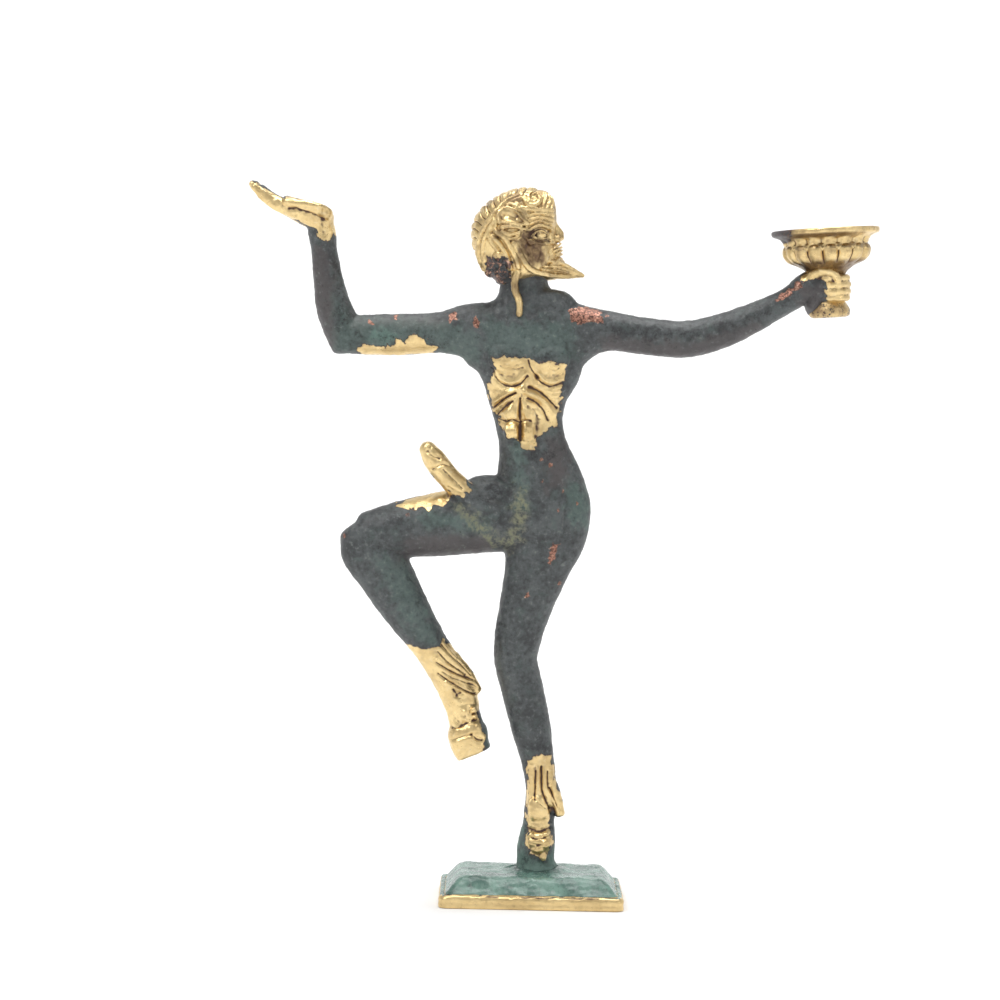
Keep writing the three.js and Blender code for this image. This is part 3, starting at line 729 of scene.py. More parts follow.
def body_forms():
    """Limbs and torso that run into each other."""
    return [
        limb(NECK_TO_STEM, squareness=2.2, sides=40),
        limb(STANDING_HOOF, squareness=2.3),
        limb(LEFT_UPPER_ARM, domes=(0, 1.6)),
        limb(LEFT_FOREARM, domes=(1.6, 0.8)),
        limb(RIGHT_ARM),
        limb(RAISED_THIGH, domes=(0, 3.4), sides=40),
        limb(RAISED_SHIN, domes=(2.0, 0.5)),
        limb(RAISED_HOOF, squareness=3, domes=(0.3, 0.25), sides=40),
        limb(PHALLUS, domes=(0, 1.3)),
        limb(LEFT_PALM, squareness=2.6, domes=(0.8, 0.8)),
        *torso_relief_forms(),
    ]


def open_hand():
    """Four fingers side by side in depth, bent back, and the thumb along the palm's near edge."""
    forms = []
    reach = ((-52.0, 143.4), (-55.6, 144.4), (-58.4, 146.1), (-60.9, 148.2))
    for y, length, lift in ((-3.7, 0.92, 0), (-1.25, 1.0, 0.35), (1.2, 0.97, 0.55), (3.6, 0.82, 0.5)):
        points = [(-52.0 - (-52.0 - x) * length, y,
                   143.4 + (z - 143.4) * length + lift * min((-52.0 - x) * length / 4, 1))
                  for x, z in reach]
        forms.append(rod(points, 1.75, tip=0.5, flat=0.74, sides=18))
    forms.append(rod([(-45.2, -3.2, 142.6), (-47.4, -4.4, 143.8), (-50.4, -4.9, 144.4),
                      (-53.6, -4.7, 144.9)], 1.35, tip=0.65, sides=16))
    return forms


def cup_place(radius, angle, height):
    """Cup coordinates, radius, angle in degrees and height, as places in the part's frame."""
    angle = np.radians(np.asarray(angle, float))
    radius, angle, height = np.broadcast_arrays(radius, angle, height)
    points = np.stack([radius * np.cos(angle), radius * np.sin(angle), height], -1)
    return turned_about_y(points.astype(float), CUP_LEAN) + np.array(CUP_FOOT_PLACE)


def fist():
    """Palm and web behind the cup's stem, four fingers bent round it and the thumb hooked over."""
    turns = np.linspace(120, -122, 15)
    forms = []
    for height, radius, reach in ((8.1, 3.9, 1.0), (6.7, 4.05, 1.0), (5.3, 4.0, 0.98), (4.0, 3.75, 0.95)):
        out = np.full(len(turns), radius)
        out[[0, -1]] -= 0.9
        out[[1, -2]] -= 0.25
        forms.append(rod(cup_place(out, turns * reach, height), 0.82, tip=0.9, flat=0.95, sides=14,
                         across=AXIS_Z, steps=2))
    forms.append(rod([(54.9, -2.0, 130.7), (56.3, -3.3, 132.4), (58.3, -4.2, 133.0), (59.9, -4.5, 132.5),
                      (60.9, -4.4, 131.4)], 1.1, tip=0.72, sides=16))
    forms.append(limb([
        (52.6, 128.3, 2.6, 3.1, 0),
        (55.6, 129.6, 3.5, 3.6, 0),
        (58.2, 129.4, 3.9, 3.9, 0),
        (60.2, 129.3, 3.4, 3.6, 0),
    ], squareness=2.4, domes=(0.5, 1.0)))
    forms.append(ball((57.6, 0, 132.4), (3.0, 3.2, 2.2)))
    forms.append(ball((56.6, 0, 127.2), (2.1, 3.6, 3.6), 10))
    return forms


def hoof_forms():
    """Fur spurs behind both fetlocks, knots above the raised hoof, the drop and the knob of the
    standing one."""
    forms = [
        limb([(-18.6, 52.6, 1.0, 1.6, -0.8), (-14.6, 47.4, 1.5, 1.9, -0.8),
              (-12.2, 43.8, 1.2, 1.5, -0.8)], domes=(0.5, 0.7)),
        limb([(3.0, 27.4, 0.9, 1.5, -0.9), (4.7, 22.6, 1.15, 1.7, -1.3),
              (5.8, 18.3, 1.1, 1.4, -1.6)], domes=(0.5, 0.6)),
        ball((1.2, -3.0, 19.4), (2.3, 1.2, 3.0)),
        ball((1.6, -3.5, 12.5), (2.7, 1.7, 2.6)),
        ball((-0.3, -4.5, 14.1), (0.75, 0.7, 0.7)),
        ball((2.9, -4.4, 14.3), (0.8, 0.75, 0.75)),
        ball((2.4, -4.2, 9.6), (0.7, 0.8, 1.3)),
        ball((0.3, -4.8, 12.7), (1.2, 0.8, 0.9), 20),
        ball((2.8, -4.8, 12.4), (1.1, 0.8, 1.0), -20),
        ball((1.3, -4.8, 11.2), (1.3, 0.7, 0.8)),
    ]
    knots = ((-14.5, 39.6, 0.75), (-12.8, 40.1, 0.7), (-13.7, 38.8, 0.7), (-14.8, 38.3, 0.65),
             (-13.5, 37.6, 0.75), (-12.4, 38.6, 0.6))
    for side in BOTH_SIDES:
        forms += [ball((x, -0.8 + side * 3.1, z), (r, r, r * 0.9)) for x, z, r in knots]
    return forms


# Lines cut into or raised on the near side: points [x, z], width, height (negative: a groove)

CHEST_LINES = [
    ([(-10.4, 111.6), (-9.4, 109.2), (-7.0, 107.8), (-4.6, 108.2), (-3.1, 109.9)], 0.36, -0.42),
    ([(-9.6, 110.2), (-8.6, 109.0), (-6.9, 108.6), (-5.0, 109.0), (-3.6, 110.4)], 0.55, 0.24),
    ([(-1.2, 110.0), (-0.5, 109.0), (1.7, 107.9), (4.4, 108.6)], 0.36, -0.42),
    ([(-0.7, 110.5), (0.4, 109.3), (2.0, 108.7), (4.2, 109.5)], 0.5, 0.24),
    ([(-2.9, 113.2), (-2.3, 111.6), (-0.9, 109.6)], 0.3, -0.4),
    ([(-8.6, 111.9), (-7.2, 111.5), (-5.4, 111.3), (-4.0, 111.7)], 0.22, -0.2),
    ([(-7.8, 112.5), (-6.2, 112.0), (-4.6, 112.4)], 0.2, -0.16),
    ([(1.6, 111.3), (2.8, 111.0), (3.5, 111.6)], 0.25, -0.22),
    ([(-4.6, 107.3), (-6.6, 106.5), (-8.4, 105.3), (-10.4, 103.9)], 0.4, 0.42),
    ([(-4.8, 106.0), (-6.6, 105.2), (-8.2, 104.0), (-9.8, 102.3)], 0.34, 0.4),
    ([(-5.4, 106.4), (-7.6, 105.2), (-9.8, 103.3)], 0.22, -0.42),
    ([(-6.0, 104.6), (-7.6, 103.4), (-9.0, 101.9)], 0.24, -0.3),
    ([(-4.3, 106.9), (-3.6, 107.0)], 0.75, 0.4),
    ([(-2.6, 107.7), (-0.8, 106.9), (1.2, 105.5), (3.4, 103.4)], 0.34, -0.5),
    ([(-3.4, 106.6), (-1.2, 105.9), (0.8, 104.4), (2.4, 102.2)], 0.55, 0.5),
    ([(-2.8, 105.3), (-0.9, 104.3), (0.6, 102.7), (1.5, 100.9)], 0.3, -0.42),
    ([(-2.6, 104.4), (-1.2, 103.4), (-0.2, 101.8)], 0.36, 0.2),
    ([(-1.0, 103.2), (-0.6, 100.6), (-1.0, 97.6)], 0.8, -0.34),
    ([(-4.4, 105.2), (-4.45, 103.0), (-4.3, 100.8), (-4.3, 98.8), (-4.3, 96.6)], 0.24, -0.5),
    ([(-4.9, 104.9), (-5.2, 103.2), (-5.3, 101.3)], 0.4, 0.3),
    ([(-3.9, 104.9), (-3.4, 103.2), (-2.9, 101.3)], 0.42, 0.42),
    ([(-6.2, 103.4), (-6.6, 102.2), (-6.8, 101.2)], 0.5, 0.24),
    ([(-5.4, 99.8), (-5.4, 98.2), (-5.1, 97.0)], 0.55, 0.34),
    ([(-3.2, 99.8), (-3.1, 98.2), (-3.2, 96.8)], 0.5, 0.44),
    ([(-7.2, 99.6), (-7.0, 98.4)], 0.55, 0.24),
    ([(-8.8, 100.9), (-7.4, 100.5), (-5.6, 100.7), (-4.5, 100.3)], 0.2, -0.34),
    ([(-4.1, 100.4), (-3.0, 100.8), (-2.0, 100.6)], 0.2, -0.34),
    ([(0.4, 107.4), (2.4, 107.1), (4.4, 107.4)], 0.16, -0.14),
    ([(0.9, 106.6), (2.6, 106.3), (4.4, 106.5)], 0.16, -0.14),
    ([(1.4, 105.8), (3.0, 105.5), (4.3, 105.6)], 0.16, -0.14),
    ([(2.2, 105.0), (3.2, 104.8), (4.2, 104.8)], 0.16, -0.12),
    ([(-9.8, 107.0), (-8.4, 106.9), (-7.0, 107.2)], 0.16, -0.12),
]

COLLAR_LINES = [
    ([(4.8, 126.0), (-0.7, 122.6), (-4.2, 120.7)], 0.4, 0.2),
    ([(3.8, 124.5), (0.4, 121.9), (-2.4, 120.6)], 0.35, 0.16),
    ([(-8.4, 125.4), (-6.4, 122.6), (-4.2, 120.7)], 0.5, 0.14),
    ([(3.5, 123.5), (4.7, 121.3), (6.6, 119.4), (4.9, 117.0)], 0.5, -0.16),
    ([(-4.9, 96.8), (-4.4, 92.0), (-4.0, 88.0)], 0.6, -0.14),
    ([(4.9, 77.5), (3.6, 69.8), (0.4, 63.4), (-1.8, 56.5)], 0.6, -0.16),
    ([(-42.9, 131.0), (-42.6, 125.0), (-42.1, 121.0), (-40.0, 117.6)], 0.7, -0.2),
    ([(12.0, 117.6), (20.0, 116.4), (30.0, 116.2), (38.0, 118.6), (47.0, 123.6)], 0.9, -0.12),
]

RAISED_FUR_LINES = [
    ([(-18.9, 54.2), (-17.0, 52.0), (-15.2, 50.0), (-13.6, 48.2)], 0.2, -0.3),
    ([(-19.6, 53.7), (-17.6, 51.5), (-15.5, 49.5), (-13.5, 47.4)], 0.2, -0.36),
    ([(-20.0, 52.9), (-18.2, 51.1), (-16.4, 49.5), (-14.2, 47.6)], 0.22, 0.22),
    ([(-20.4, 52.2), (-18.6, 50.4), (-16.8, 49.0), (-14.6, 47.4)], 0.2, -0.34),
    ([(-20.6, 51.0), (-18.8, 49.6), (-17.0, 48.6), (-14.8, 47.5)], 0.2, 0.2),
    ([(-20.7, 49.9), (-18.5, 48.6), (-16.8, 47.8), (-14.6, 47.0), (-13.0, 46.3)], 0.22, -0.34),
    ([(-19.8, 48.9), (-17.6, 47.7), (-15.6, 46.8), (-13.2, 45.8)], 0.24, 0.22),
    ([(-19.5, 48.0), (-17.6, 46.9), (-16.2, 46.4), (-14.0, 45.6), (-12.2, 44.9)], 0.18, -0.26),
    ([(-20.4, 47.5), (-18.5, 46.3), (-16.5, 45.2), (-14.5, 44.2), (-12.4, 43.3)], 0.26, -0.42),
    ([(-18.6, 45.7), (-16.5, 44.7), (-14.5, 43.6), (-12.8, 42.8)], 0.3, 0.26),
    ([(-16.5, 46.0), (-14.6, 45.3), (-12.8, 44.6), (-11.4, 44.0)], 0.16, -0.22),
    ([(-15.8, 45.4), (-13.9, 44.6), (-11.9, 43.8)], 0.16, -0.2),
    ([(-17.0, 44.2), (-16.3, 43.4), (-15.5, 43.7)], 0.42, -0.5),
    ([(-16.4, 42.9), (-15.6, 42.5)], 0.36, -0.4),
    ([(-18.1, 40.6), (-17.0, 38.6), (-15.6, 37.2)], 0.7, -0.3),
    ([(-15.4, 41.0), (-13.6, 41.3), (-11.9, 41.0)], 0.3, -0.2),
    ([(-17.9, 36.0), (-15.9, 36.5), (-14.0, 37.4), (-12.0, 38.2)], 0.26, -0.34),
    ([(-17.3, 33.7), (-14.6, 34.7), (-12.2, 35.4)], 0.2, -0.24),
    ([(-16.8, 32.9), (-14.4, 33.9), (-13.0, 34.4)], 0.4, 0.2),
    ([(-13.1, 34.9), (-11.8, 34.1), (-10.8, 33.9)], 0.42, -0.55),
    ([(-15.9, 30.6), (-14.6, 31.3), (-13.2, 31.9)], 0.2, -0.12),
]

STANDING_FUR_LINES = [
    ([(0.5, 27.4), (0.35, 24.6), (0.3, 21.6)], 0.2, -0.42),
    ([(-0.35, 28.6), (-0.45, 24.6), (-0.5, 20.6)], 0.4, 0.3),
    ([(1.0, 28.2), (1.0, 25.4), (1.1, 22.6)], 0.3, 0.26),
    ([(1.7, 28.4), (1.75, 25.4), (2.0, 23.0), (3.0, 21.2), (3.9, 19.6)], 0.24, -0.5),
    ([(2.3, 28.0), (2.5, 25.4), (3.2, 23.2), (4.4, 21.0)], 0.3, 0.28),
    ([(3.1, 27.4), (3.1, 25.6), (3.2, 23.8)], 0.18, -0.36),
    ([(3.9, 26.6), (4.4, 23.8), (5.4, 20.6)], 0.3, 0.24),
    ([(3.5, 24.0), (4.2, 22.0), (5.0, 20.0)], 0.16, -0.26),
    ([(4.5, 23.4), (5.2, 21.2), (5.9, 19.2)], 0.15, -0.22),
    ([(0.5, 21.6), (1.6, 20.6), (2.7, 19.7)], 0.22, -0.24),
    ([(-0.6, 21.0), (-0.3, 19.0), (0.4, 17.6)], 0.3, 0.16),
    ([(3.8, 19.7), (4.3, 18.3), (4.0, 16.8)], 0.42, -0.5),
    ([(-1.3, 15.6), (1.2, 15.1), (4.0, 15.6)], 0.4, -0.45),
    ([(-0.9, 14.0), (1.2, 13.5), (3.6, 14.0)], 0.16, -0.3),
    ([(-0.6, 12.7), (1.2, 12.2), (3.4, 12.6)], 0.16, -0.26),
]

GLANS_LINES = [
    ([(-22.3, 90.2), (-20.2, 91.3), (-17.6, 90.9)], 0.34, -0.36),
    ([(-23.4, 94.0), (-22.2, 93.0), (-20.8, 92.6)], 0.34, -0.36),
    ([(-20.0, 90.2), (-18.0, 88.4), (-16.0, 86.4)], 0.34, -0.34),
    ([(-16.0, 85.6), (-17.6, 85.9), (-19.0, 86.6)], 0.3, -0.24),
]

HAND_LINES = [
    ([(-47.4, 143.4), (-50.4, 143.6), (-53.0, 143.4)], 0.4, -0.3),
    ([(-45.6, 143.2), (-46.2, 140.4), (-45.8, 138.4)], 0.6, -0.3),
]

# Where the patina is rubbed through: outlines [x, z] and whether the far side has it too

BARE_PLACES = {
    "chest": ([(-10.2, 113.1), (-8.5, 113.9), (-4.1, 113.5), (-0.5, 112.9), (1.6, 113.1),
               (4.4, 112.4), (4.9, 111.1), (4.3, 109.0), (4.0, 106.2), (3.8, 102.5), (3.2, 99.9),
               (0.9, 98.8), (-0.1, 97.8), (-1.4, 94.9), (-3.2, 94.9), (-3.5, 96.4), (-7.1, 97.1),
               (-8.6, 100.7), (-10.6, 104.3), (-11.0, 107.9), (-10.1, 110.0)], False),
    "raised shank": ([(-30.0, 53.0), (-26.3, 53.6), (-23.0, 52.6), (-21.0, 52.8), (-19.1, 54.3),
                      (-17.0, 53.4), (-14.0, 49.5), (-9.8, 44.2), (-11.9, 41.2), (-11.6, 37.5),
                      (-10.9, 35.8), (-10.0, 32.0), (-15.5, 26.0), (-22.0, 30.0), (-22.0, 40.0)], True),
    "standing shank": ([(-1.1, 29.9), (0.0, 31.0), (1.0, 30.4), (1.8, 31.3), (2.8, 31.1),
                        (3.6, 29.5), (4.3, 29.0), (5.1, 23.9), (7.3, 19.5), (7.0, 17.4),
                        (5.2, 17.9), (4.1, 20.0), (3.5, 17.0), (3.9, 14.6), (4.3, 12.2),
                        (3.2, 10.1), (2.6, 8.4), (1.7, 9.6), (-0.3, 10.3), (-1.3, 12.7),
                        (-0.8, 15.0), (-1.3, 19.4), (-1.0, 24.3)], False),
    "shaft": ([(-26.0, 94.5), (-24.1, 98.0), (-21.0, 97.5), (-18.4, 94.0), (-16.0, 90.0),
               (-13.9, 86.0), (-15.9, 84.6), (-19.2, 86.2), (-21.6, 87.8), (-24.5, 91.3)], True),
    "thigh": ([(-29.4, 82.6), (-24.8, 85.4), (-20.5, 87.4), (-17.9, 84.9), (-20.1, 82.7),
               (-24.8, 82.0), (-28.1, 82.0)], False),
    "left arm": ([(-38.6, 115.0), (-37.4, 116.2), (-35.8, 115.4), (-33.6, 115.0), (-31.5, 115.6),
                  (-29.9, 116.6), (-28.4, 117.0), (-26.8, 118.1), (-25.3, 117.6), (-23.7, 116.2),
                  (-21.6, 115.2), (-23.3, 113.6), (-32.7, 113.0), (-38.0, 113.4)], False),
    "open hand": ([(-62.6, 150.2), (-61.0, 149.3), (-58.2, 147.6), (-55.0, 145.9), (-52.4, 146.0),
                   (-48.0, 145.9), (-43.8, 144.4), (-42.8, 141.0), (-43.6, 138.4), (-45.0, 137.2),
                   (-46.6, 137.4), (-47.4, 139.6), (-50.0, 140.4), (-53.4, 141.4), (-57.4, 143.0),
                   (-61.4, 146.4)], True),
    "fist": ([(53.4, 130.9), (55.0, 133.6), (57.6, 134.6), (60.4, 133.9), (66.0, 133.5),
              (66.0, 121.5), (58.6, 121.5), (58.5, 130.6), (56.6, 131.4), (54.6, 130.6)], True),
}

COPPER_PLACES = {
    "right shoulder": ([(4.8, 123.8), (7.2, 124.9), (10.5, 124.2), (13.8, 122.7), (12.4, 121.7),
                        (8.9, 121.1), (6.0, 121.4)], False),
    "left shoulder": ([(-20.3, 122.6), (-18.2, 122.9), (-17.7, 121.2), (-19.4, 120.4)], False),
    "left breast": ([(-15.2, 121.8), (-14.0, 121.9), (-13.2, 119.8), (-14.2, 119.6)], False),
    "right thigh": ([(2.9, 75.8), (4.1, 75.2), (3.0, 71.0), (1.9, 70.8)], False),
    "wrist": ([(47.6, 126.6), (49.8, 128.4), (53.2, 131.0), (54.6, 130.4), (50.6, 127.4),
               (48.4, 125.8)], False),
    "upper arm": ([(-36.3, 120.9), (-35.6, 121.1), (-34.8, 119.9), (-35.6, 119.8)], False),
    "arm top": ([(-32.2, 121.5), (-30.4, 122.0), (-30.6, 121.1), (-32.0, 121.0)], False),
}

COPPER_SPECKS = [(0.3, 92.7), (2.2, 91.6), (1.6, 85.5), (5.1, 86.3), (0.4, 88.0), (4.0, 82.3),
                 (4.6, 67.0), (-2.1, 64.3), (-40.4, 75.9), (-27.3, 80.7), (7.8, 83.6)]

GREEN_PLACES = {
    "elbow pool": ([(-37.2, 117.9), (-34.9, 119.4), (-32.1, 118.6), (-29.4, 118.6), (-30.8, 116.4),
                    (-33.3, 115.6), (-36.0, 116.0)], 1.0),
    "left arm": ([(-40.0, 122.0), (-20.0, 121.0), (-12.0, 118.0), (-13.0, 112.0), (-30.0, 115.0),
                  (-43.0, 114.0), (-43.5, 126.0)], 0.35),
    "chest": ([(-13.0, 121.0), (6.0, 121.0), (7.0, 114.0), (-12.0, 114.0)], 0.35),
    "hip": ([(6.0, 88.0), (10.5, 86.0), (10.5, 78.0), (6.0, 80.0)], 0.45),
    "belly": ([(-5.6, 97.0), (-3.6, 97.0), (-2.4, 82.0), (-5.4, 82.0)], 0.45),
    "thigh": ([(-24.0, 82.0), (-10.0, 80.0), (-10.0, 76.5), (-24.0, 79.0)], 0.4),
    "hock": ([(-34.0, 72.0), (-27.0, 71.0), (-20.0, 54.0), (-25.0, 54.0)], 0.35),
    "stem": ([(-4.5, 18.0), (-1.4, 17.0), (-1.6, 10.5), (2.0, 8.6), (4.6, 12.0), (7.0, 16.0),
              (7.0, 4.0), (-5.0, 4.0)], 0.95),
    "shank back": ([(-10.9, 42.0), (-9.0, 42.0), (-8.0, 31.0), (-11.0, 33.0)], 0.5),
}

OLIVE_PLACES = [
    [(-17.5, 82.5), (-14.0, 82.0), (-11.5, 79.0), (-9.0, 77.4), (-8.6, 75.4), (-12.5, 77.0)],
    [(-9.7, 77.6), (-6.8, 76.2), (-4.8, 78.0), (-5.0, 84.0), (-4.8, 86.4), (-3.2, 86.2),
     (-2.6, 80.4), (-3.4, 75.2), (-6.6, 73.8), (-9.4, 75.4)],
]


PLUM_PLACES = [
    [(12.0, 118.6), (30.0, 117.6), (46.0, 122.6), (46.0, 114.0), (12.0, 112.0)],
    [(-48.0, 136.0), (-45.4, 136.0), (-43.4, 126.0), (-42.8, 116.5), (-45.0, 110.0), (-50.0, 115.0)],
    [(-27.0, 76.2), (-10.0, 77.2), (-9.0, 72.0), (-30.0, 70.0)],
    [(1.0, 96.5), (6.0, 98.0), (5.6, 87.0), (1.4, 86.0)],
    [(-40.0, 122.0), (-20.0, 121.5), (-20.0, 119.6), (-33.0, 119.4), (-40.0, 119.0)],
    [(-63.0, 151.0), (-58.0, 148.6), (-52.0, 146.6), (-44.0, 145.2), (-44.0, 149.0), (-60.0, 154.0)],
    [(53.0, 130.0), (58.0, 130.6), (58.4, 122.0), (53.0, 123.0)],
]

CHAR_PLACES = [
    [(12.0, 121.5), (30.0, 120.4), (46.0, 126.4), (48.0, 124.4), (30.0, 117.8), (12.0, 118.4)],
    [(-43.6, 133.0), (-41.6, 133.0), (-39.6, 120.0), (-42.6, 119.0)],
    [(-11.5, 115.2), (6.0, 115.2), (5.8, 112.8), (-11.2, 113.0)],
    [(-28.0, 71.0), (-24.5, 70.0), (-18.5, 57.0), (-23.0, 59.0)],
    [(-8.6, 66.0), (-6.4, 66.0), (-6.6, 52.0), (-9.2, 52.0)],
    [(-3.0, 97.0), (4.6, 98.0), (4.6, 92.5), (-2.4, 93.0)],
    [(-2.0, 33.0), (4.6, 34.0), (5.4, 29.6), (-2.2, 28.6)],
    [(-26.6, 119.8), (-23.6, 118.6), (-20.4, 115.6), (-22.0, 114.2), (-26.0, 117.0), (-39.0, 116.4),
     (-39.0, 118.6), (-31.0, 116.4)],
    [(-12.0, 90.0), (-4.0, 89.0), (-4.0, 82.0), (-12.5, 84.0)],
    [(-1.8, 16.8), (-0.8, 16.0), (-1.4, 9.0), (-3.0, 7.4), (4.6, 7.4), (2.6, 8.4), (-2.4, 14.6)],
]


def body_regions(points, normals):
    """Masks of the body: outlines in the XZ plane, softened, and ragged by random waves."""
    places = points[:, [0, 2]]
    ragged = 0.55 * waves(points, 2.2, 5) + 0.35 * waves(points, 0.9, 6)
    near = smooth(-0.15, 0.35, -normals[:, 1])
    masks = {name: np.zeros(len(points)) for name in MASKS[:-1]}

    def lay(mask, outline, strength=1.0, both_sides=True, soft=0.45, wander=1.0):
        depth = inside(places, outline) + ragged * wander
        value = smooth(-soft, soft, depth) * strength * (1.0 if both_sides else near)
        masks[mask] = np.maximum(masks[mask], value)

    for outline, both in BARE_PLACES.values():
        lay("polish", outline, both_sides=both, wander=0.7)
    for outline, both in COPPER_PLACES.values():
        lay("copper", outline, both_sides=both, soft=0.5, wander=0.6)
    for outline, strength in GREEN_PLACES.values():
        lay("green", outline, strength, soft=1.4, wander=1.6)
    for outline in OLIVE_PLACES:
        lay("olive", outline, both_sides=False, soft=1.2, wander=1.4)
    for outline in PLUM_PLACES:
        lay("brown", outline, 0.9, soft=1.0, wander=1.2)
    for outline in CHAR_PLACES:
        lay("char", outline, both_sides=True, soft=1.0, wander=1.8)
    masks["brown"] *= 1 - masks["polish"]
    for x, z in COPPER_SPECKS:
        away = np.linalg.norm(places - (x, z), axis=1)
        masks["copper"] = np.maximum(masks["copper"], smooth(1.0, 0.1, away + 0.3 * ragged) * near * 0.8)
    return masks


def make_body(sizes, colours):
    """The body's skin: forms fused on a coarse grain, junctions relaxed, then fused again with
    hands, fur and hooves on a fine one, drawn lines and a cast surface pushed along the normals."""
    rough = Skin(body_forms(), sizes.body_grain / MM * 1.7)
    places = rough.points[:, [0, 2]]
    soft = np.full(len(places), 0.12)
    for x, z, reach in JUNCTIONS:
        away = np.linalg.norm(places - (x, z), axis=1)
        soft = np.maximum(soft, np.exp(-(away / reach) ** 2))
    rough.relax(90, soft[:, None])
    rough.relax(6, 0.6)
    base = (rough.points, [rough.here.reshape(-1, 4)])
    skin = Skin([base, *open_hand(), *fist(), *hoof_forms()], sizes.body_grain / MM)
    skin.relax(6)
    normals = skin_normals(skin)
    near = smooth(0.1, 0.6, -normals[:, 1])
    far = smooth(0.1, 0.6, normals[:, 1])
    height = drawn_relief(skin.points, CHEST_LINES + COLLAR_LINES + STANDING_FUR_LINES
                          + GLANS_LINES + HAND_LINES) * near
    height += drawn_relief(skin.points, RAISED_FUR_LINES) * np.maximum(near, far)
    height += (0.05 * waves(skin.points, 2.6, 1) + 0.03 * waves(skin.points, 1.1, 2)
               + 0.02 * waves(skin.points, 0.55, 3))
    skin.points += normals * height[:, None]
    skin.relax(2, 0.5)
    skin.points[:, 2] = np.maximum(skin.points[:, 2], PLINTH_BOX[1].z / MM - 0.3)
    skin.write()
    mesh = thinned(skin.mesh, 190000)
    material = aged_bronze("figure_bronze", colours, 0.25)
    return finished("satyr_body", mesh, masks_for(mesh, body_regions), material,
                    "satyr_figure")


# The head

def head_section(z):
    """Back, front and half breadth of the head at each height, on smooth curves."""
    rows = curve_through(HEAD_LEVELS, 90)
    return (np.interp(z, rows[:, 0], rows[:, k]) for k in (1, 2, 3))


def head_side(x, z):
    """How far the head's side stands out from its middle plane at [x, z]."""
    back, front, breadth = head_section(np.asarray(z, float))
    reach = np.clip(np.abs(np.asarray(x) - (back + front) / 2) / ((front - back) / 2), 0, 0.995)
    return breadth * (1 - reach ** HEAD_SQUARENESS) ** (1 / HEAD_SQUARENESS)


def laid(points, radius, side, lift=0.1, **options):
    """A strand laid on one side of the head through points [x, z]."""
    path = curve_through(points, 6 * len(points))
    y = side * (head_side(path[:, 0], path[:, 1]) + lift)
    return rod(np.stack([path[:, 0], y, path[:, 1]], -1), radius, steps=1, **options)


def skull():
    rows = np.array(HEAD_LEVELS)
    centre = (rows[:, 1] + rows[:, 2]) / 2
    places = np.stack([centre, np.zeros(len(rows)), rows[:, 0]], -1)
    sizes = np.stack([(rows[:, 2] - rows[:, 1]) / 2, rows[:, 3]], -1)
    return tube(places, sizes, side=AXIS_X, squareness=HEAD_SQUARENESS, sides=60, domes=(1.2, 0.3))


def round_face(z_side, z_front, reach, radius, lift, **options):
    """A ridge round the front of the face along the head's level section, `reach` degrees to both
    sides of its middle plane, standing `lift` before the skin there."""
    turn = np.radians(np.linspace(-reach, reach, 19))
    z = z_side + (z_front - z_side) * np.cos(turn * 90 / reach)
    back, front, breadth = head_section(z)
    power = 2 / HEAD_SQUARENESS
    x = (front + back) / 2 + ((front - back) / 2 + lift) * np.cos(turn) ** power
    y = (breadth - 0.1) * np.sign(turn) * np.abs(np.sin(turn)) ** power
    return rod(np.stack([x, y, z], -1), radius, steps=1, across=AXIS_Z, **options)


def face():
    """Nose with wings, muzzle with ridges, lips, furrows and brows, eyes between heavy lids."""
    forms = [
        limb([(1.3, 142.6, 0.9, 0.8, 0), (1.9, 141.0, 1.0, 0.9, 0), (2.8, 139.6, 1.15, 1.1, 0),
              (3.05, 138.9, 1.0, 1.2, 0)], domes=(0.5, 0.5), sides=20),
        ball((2.9, 0, 138.9), (1.25, 1.35, 0.85)),
        ball((0.7, 0, 135.6), (2.7, 4.3, 2.7)),
        ball((1.6, 0, 133.4), (2.9, 3.4, 1.5)),
        round_face(136.6, 137.6, 34, 0.36, 0.75, start=0.6, tip=0.6),
        round_face(135.8, 136.9, 36, 0.38, 0.85, start=0.6, tip=0.6),
        round_face(135.2, 136.2, 34, 0.36, 0.9, start=0.6, tip=0.6),
        round_face(135.0, 135.4, 26, 0.4, 0.95, start=0.6, tip=0.6),
        round_face(134.2, 134.5, 25, 0.5, 1.0, start=0.6, tip=0.6),
    ]
    for side in BOTH_SIDES:
        forms += [
            ball((2.1, side * 1.35, 138.5), (1.35, 0.8, 0.8), 8),
            laid([(-4.0, 143.1), (-1.7, 143.55), (0.3, 143.6), (2.0, 143.4)], 0.36, side, start=0.5),
            laid([(-3.6, 142.0), (-1.2, 142.8), (0.3, 142.7), (1.8, 142.3)], 0.36, side, start=0.5),
            laid([(-3.5, 141.1), (-1.2, 141.95), (0.3, 141.75), (1.5, 141.3)], 0.34, side, start=0.5),
            laid([(-3.3, 140.0), (-1.3, 141.05), (0.4, 140.8), (1.3, 140.2)], 0.5, side, 0.3, start=0.5),
            ball((-1.0, side * (head_side(-1.0, 139.2) - 0.1), 139.15), (1.3, 0.8, 0.62), 4),
            laid([(-2.7, 138.9), (-1.7, 139.75), (-0.5, 139.85), (0.6, 139.2)], 0.27, side, 0.3),
            laid([(-2.6, 138.85), (-1.6, 138.4), (-0.5, 138.35), (0.5, 138.75)], 0.25, side, 0.25),
            laid([(-2.4, 137.9), (-1.0, 137.35), (0.8, 137.5), (2.0, 137.9)], 0.4, side, 0.15, start=0.5),
            ball((-3.3, side * (head_side(-3.3, 137.6) - 0.45), 137.6), (1.5, 0.9, 1.1), 25),
        ]
    return forms


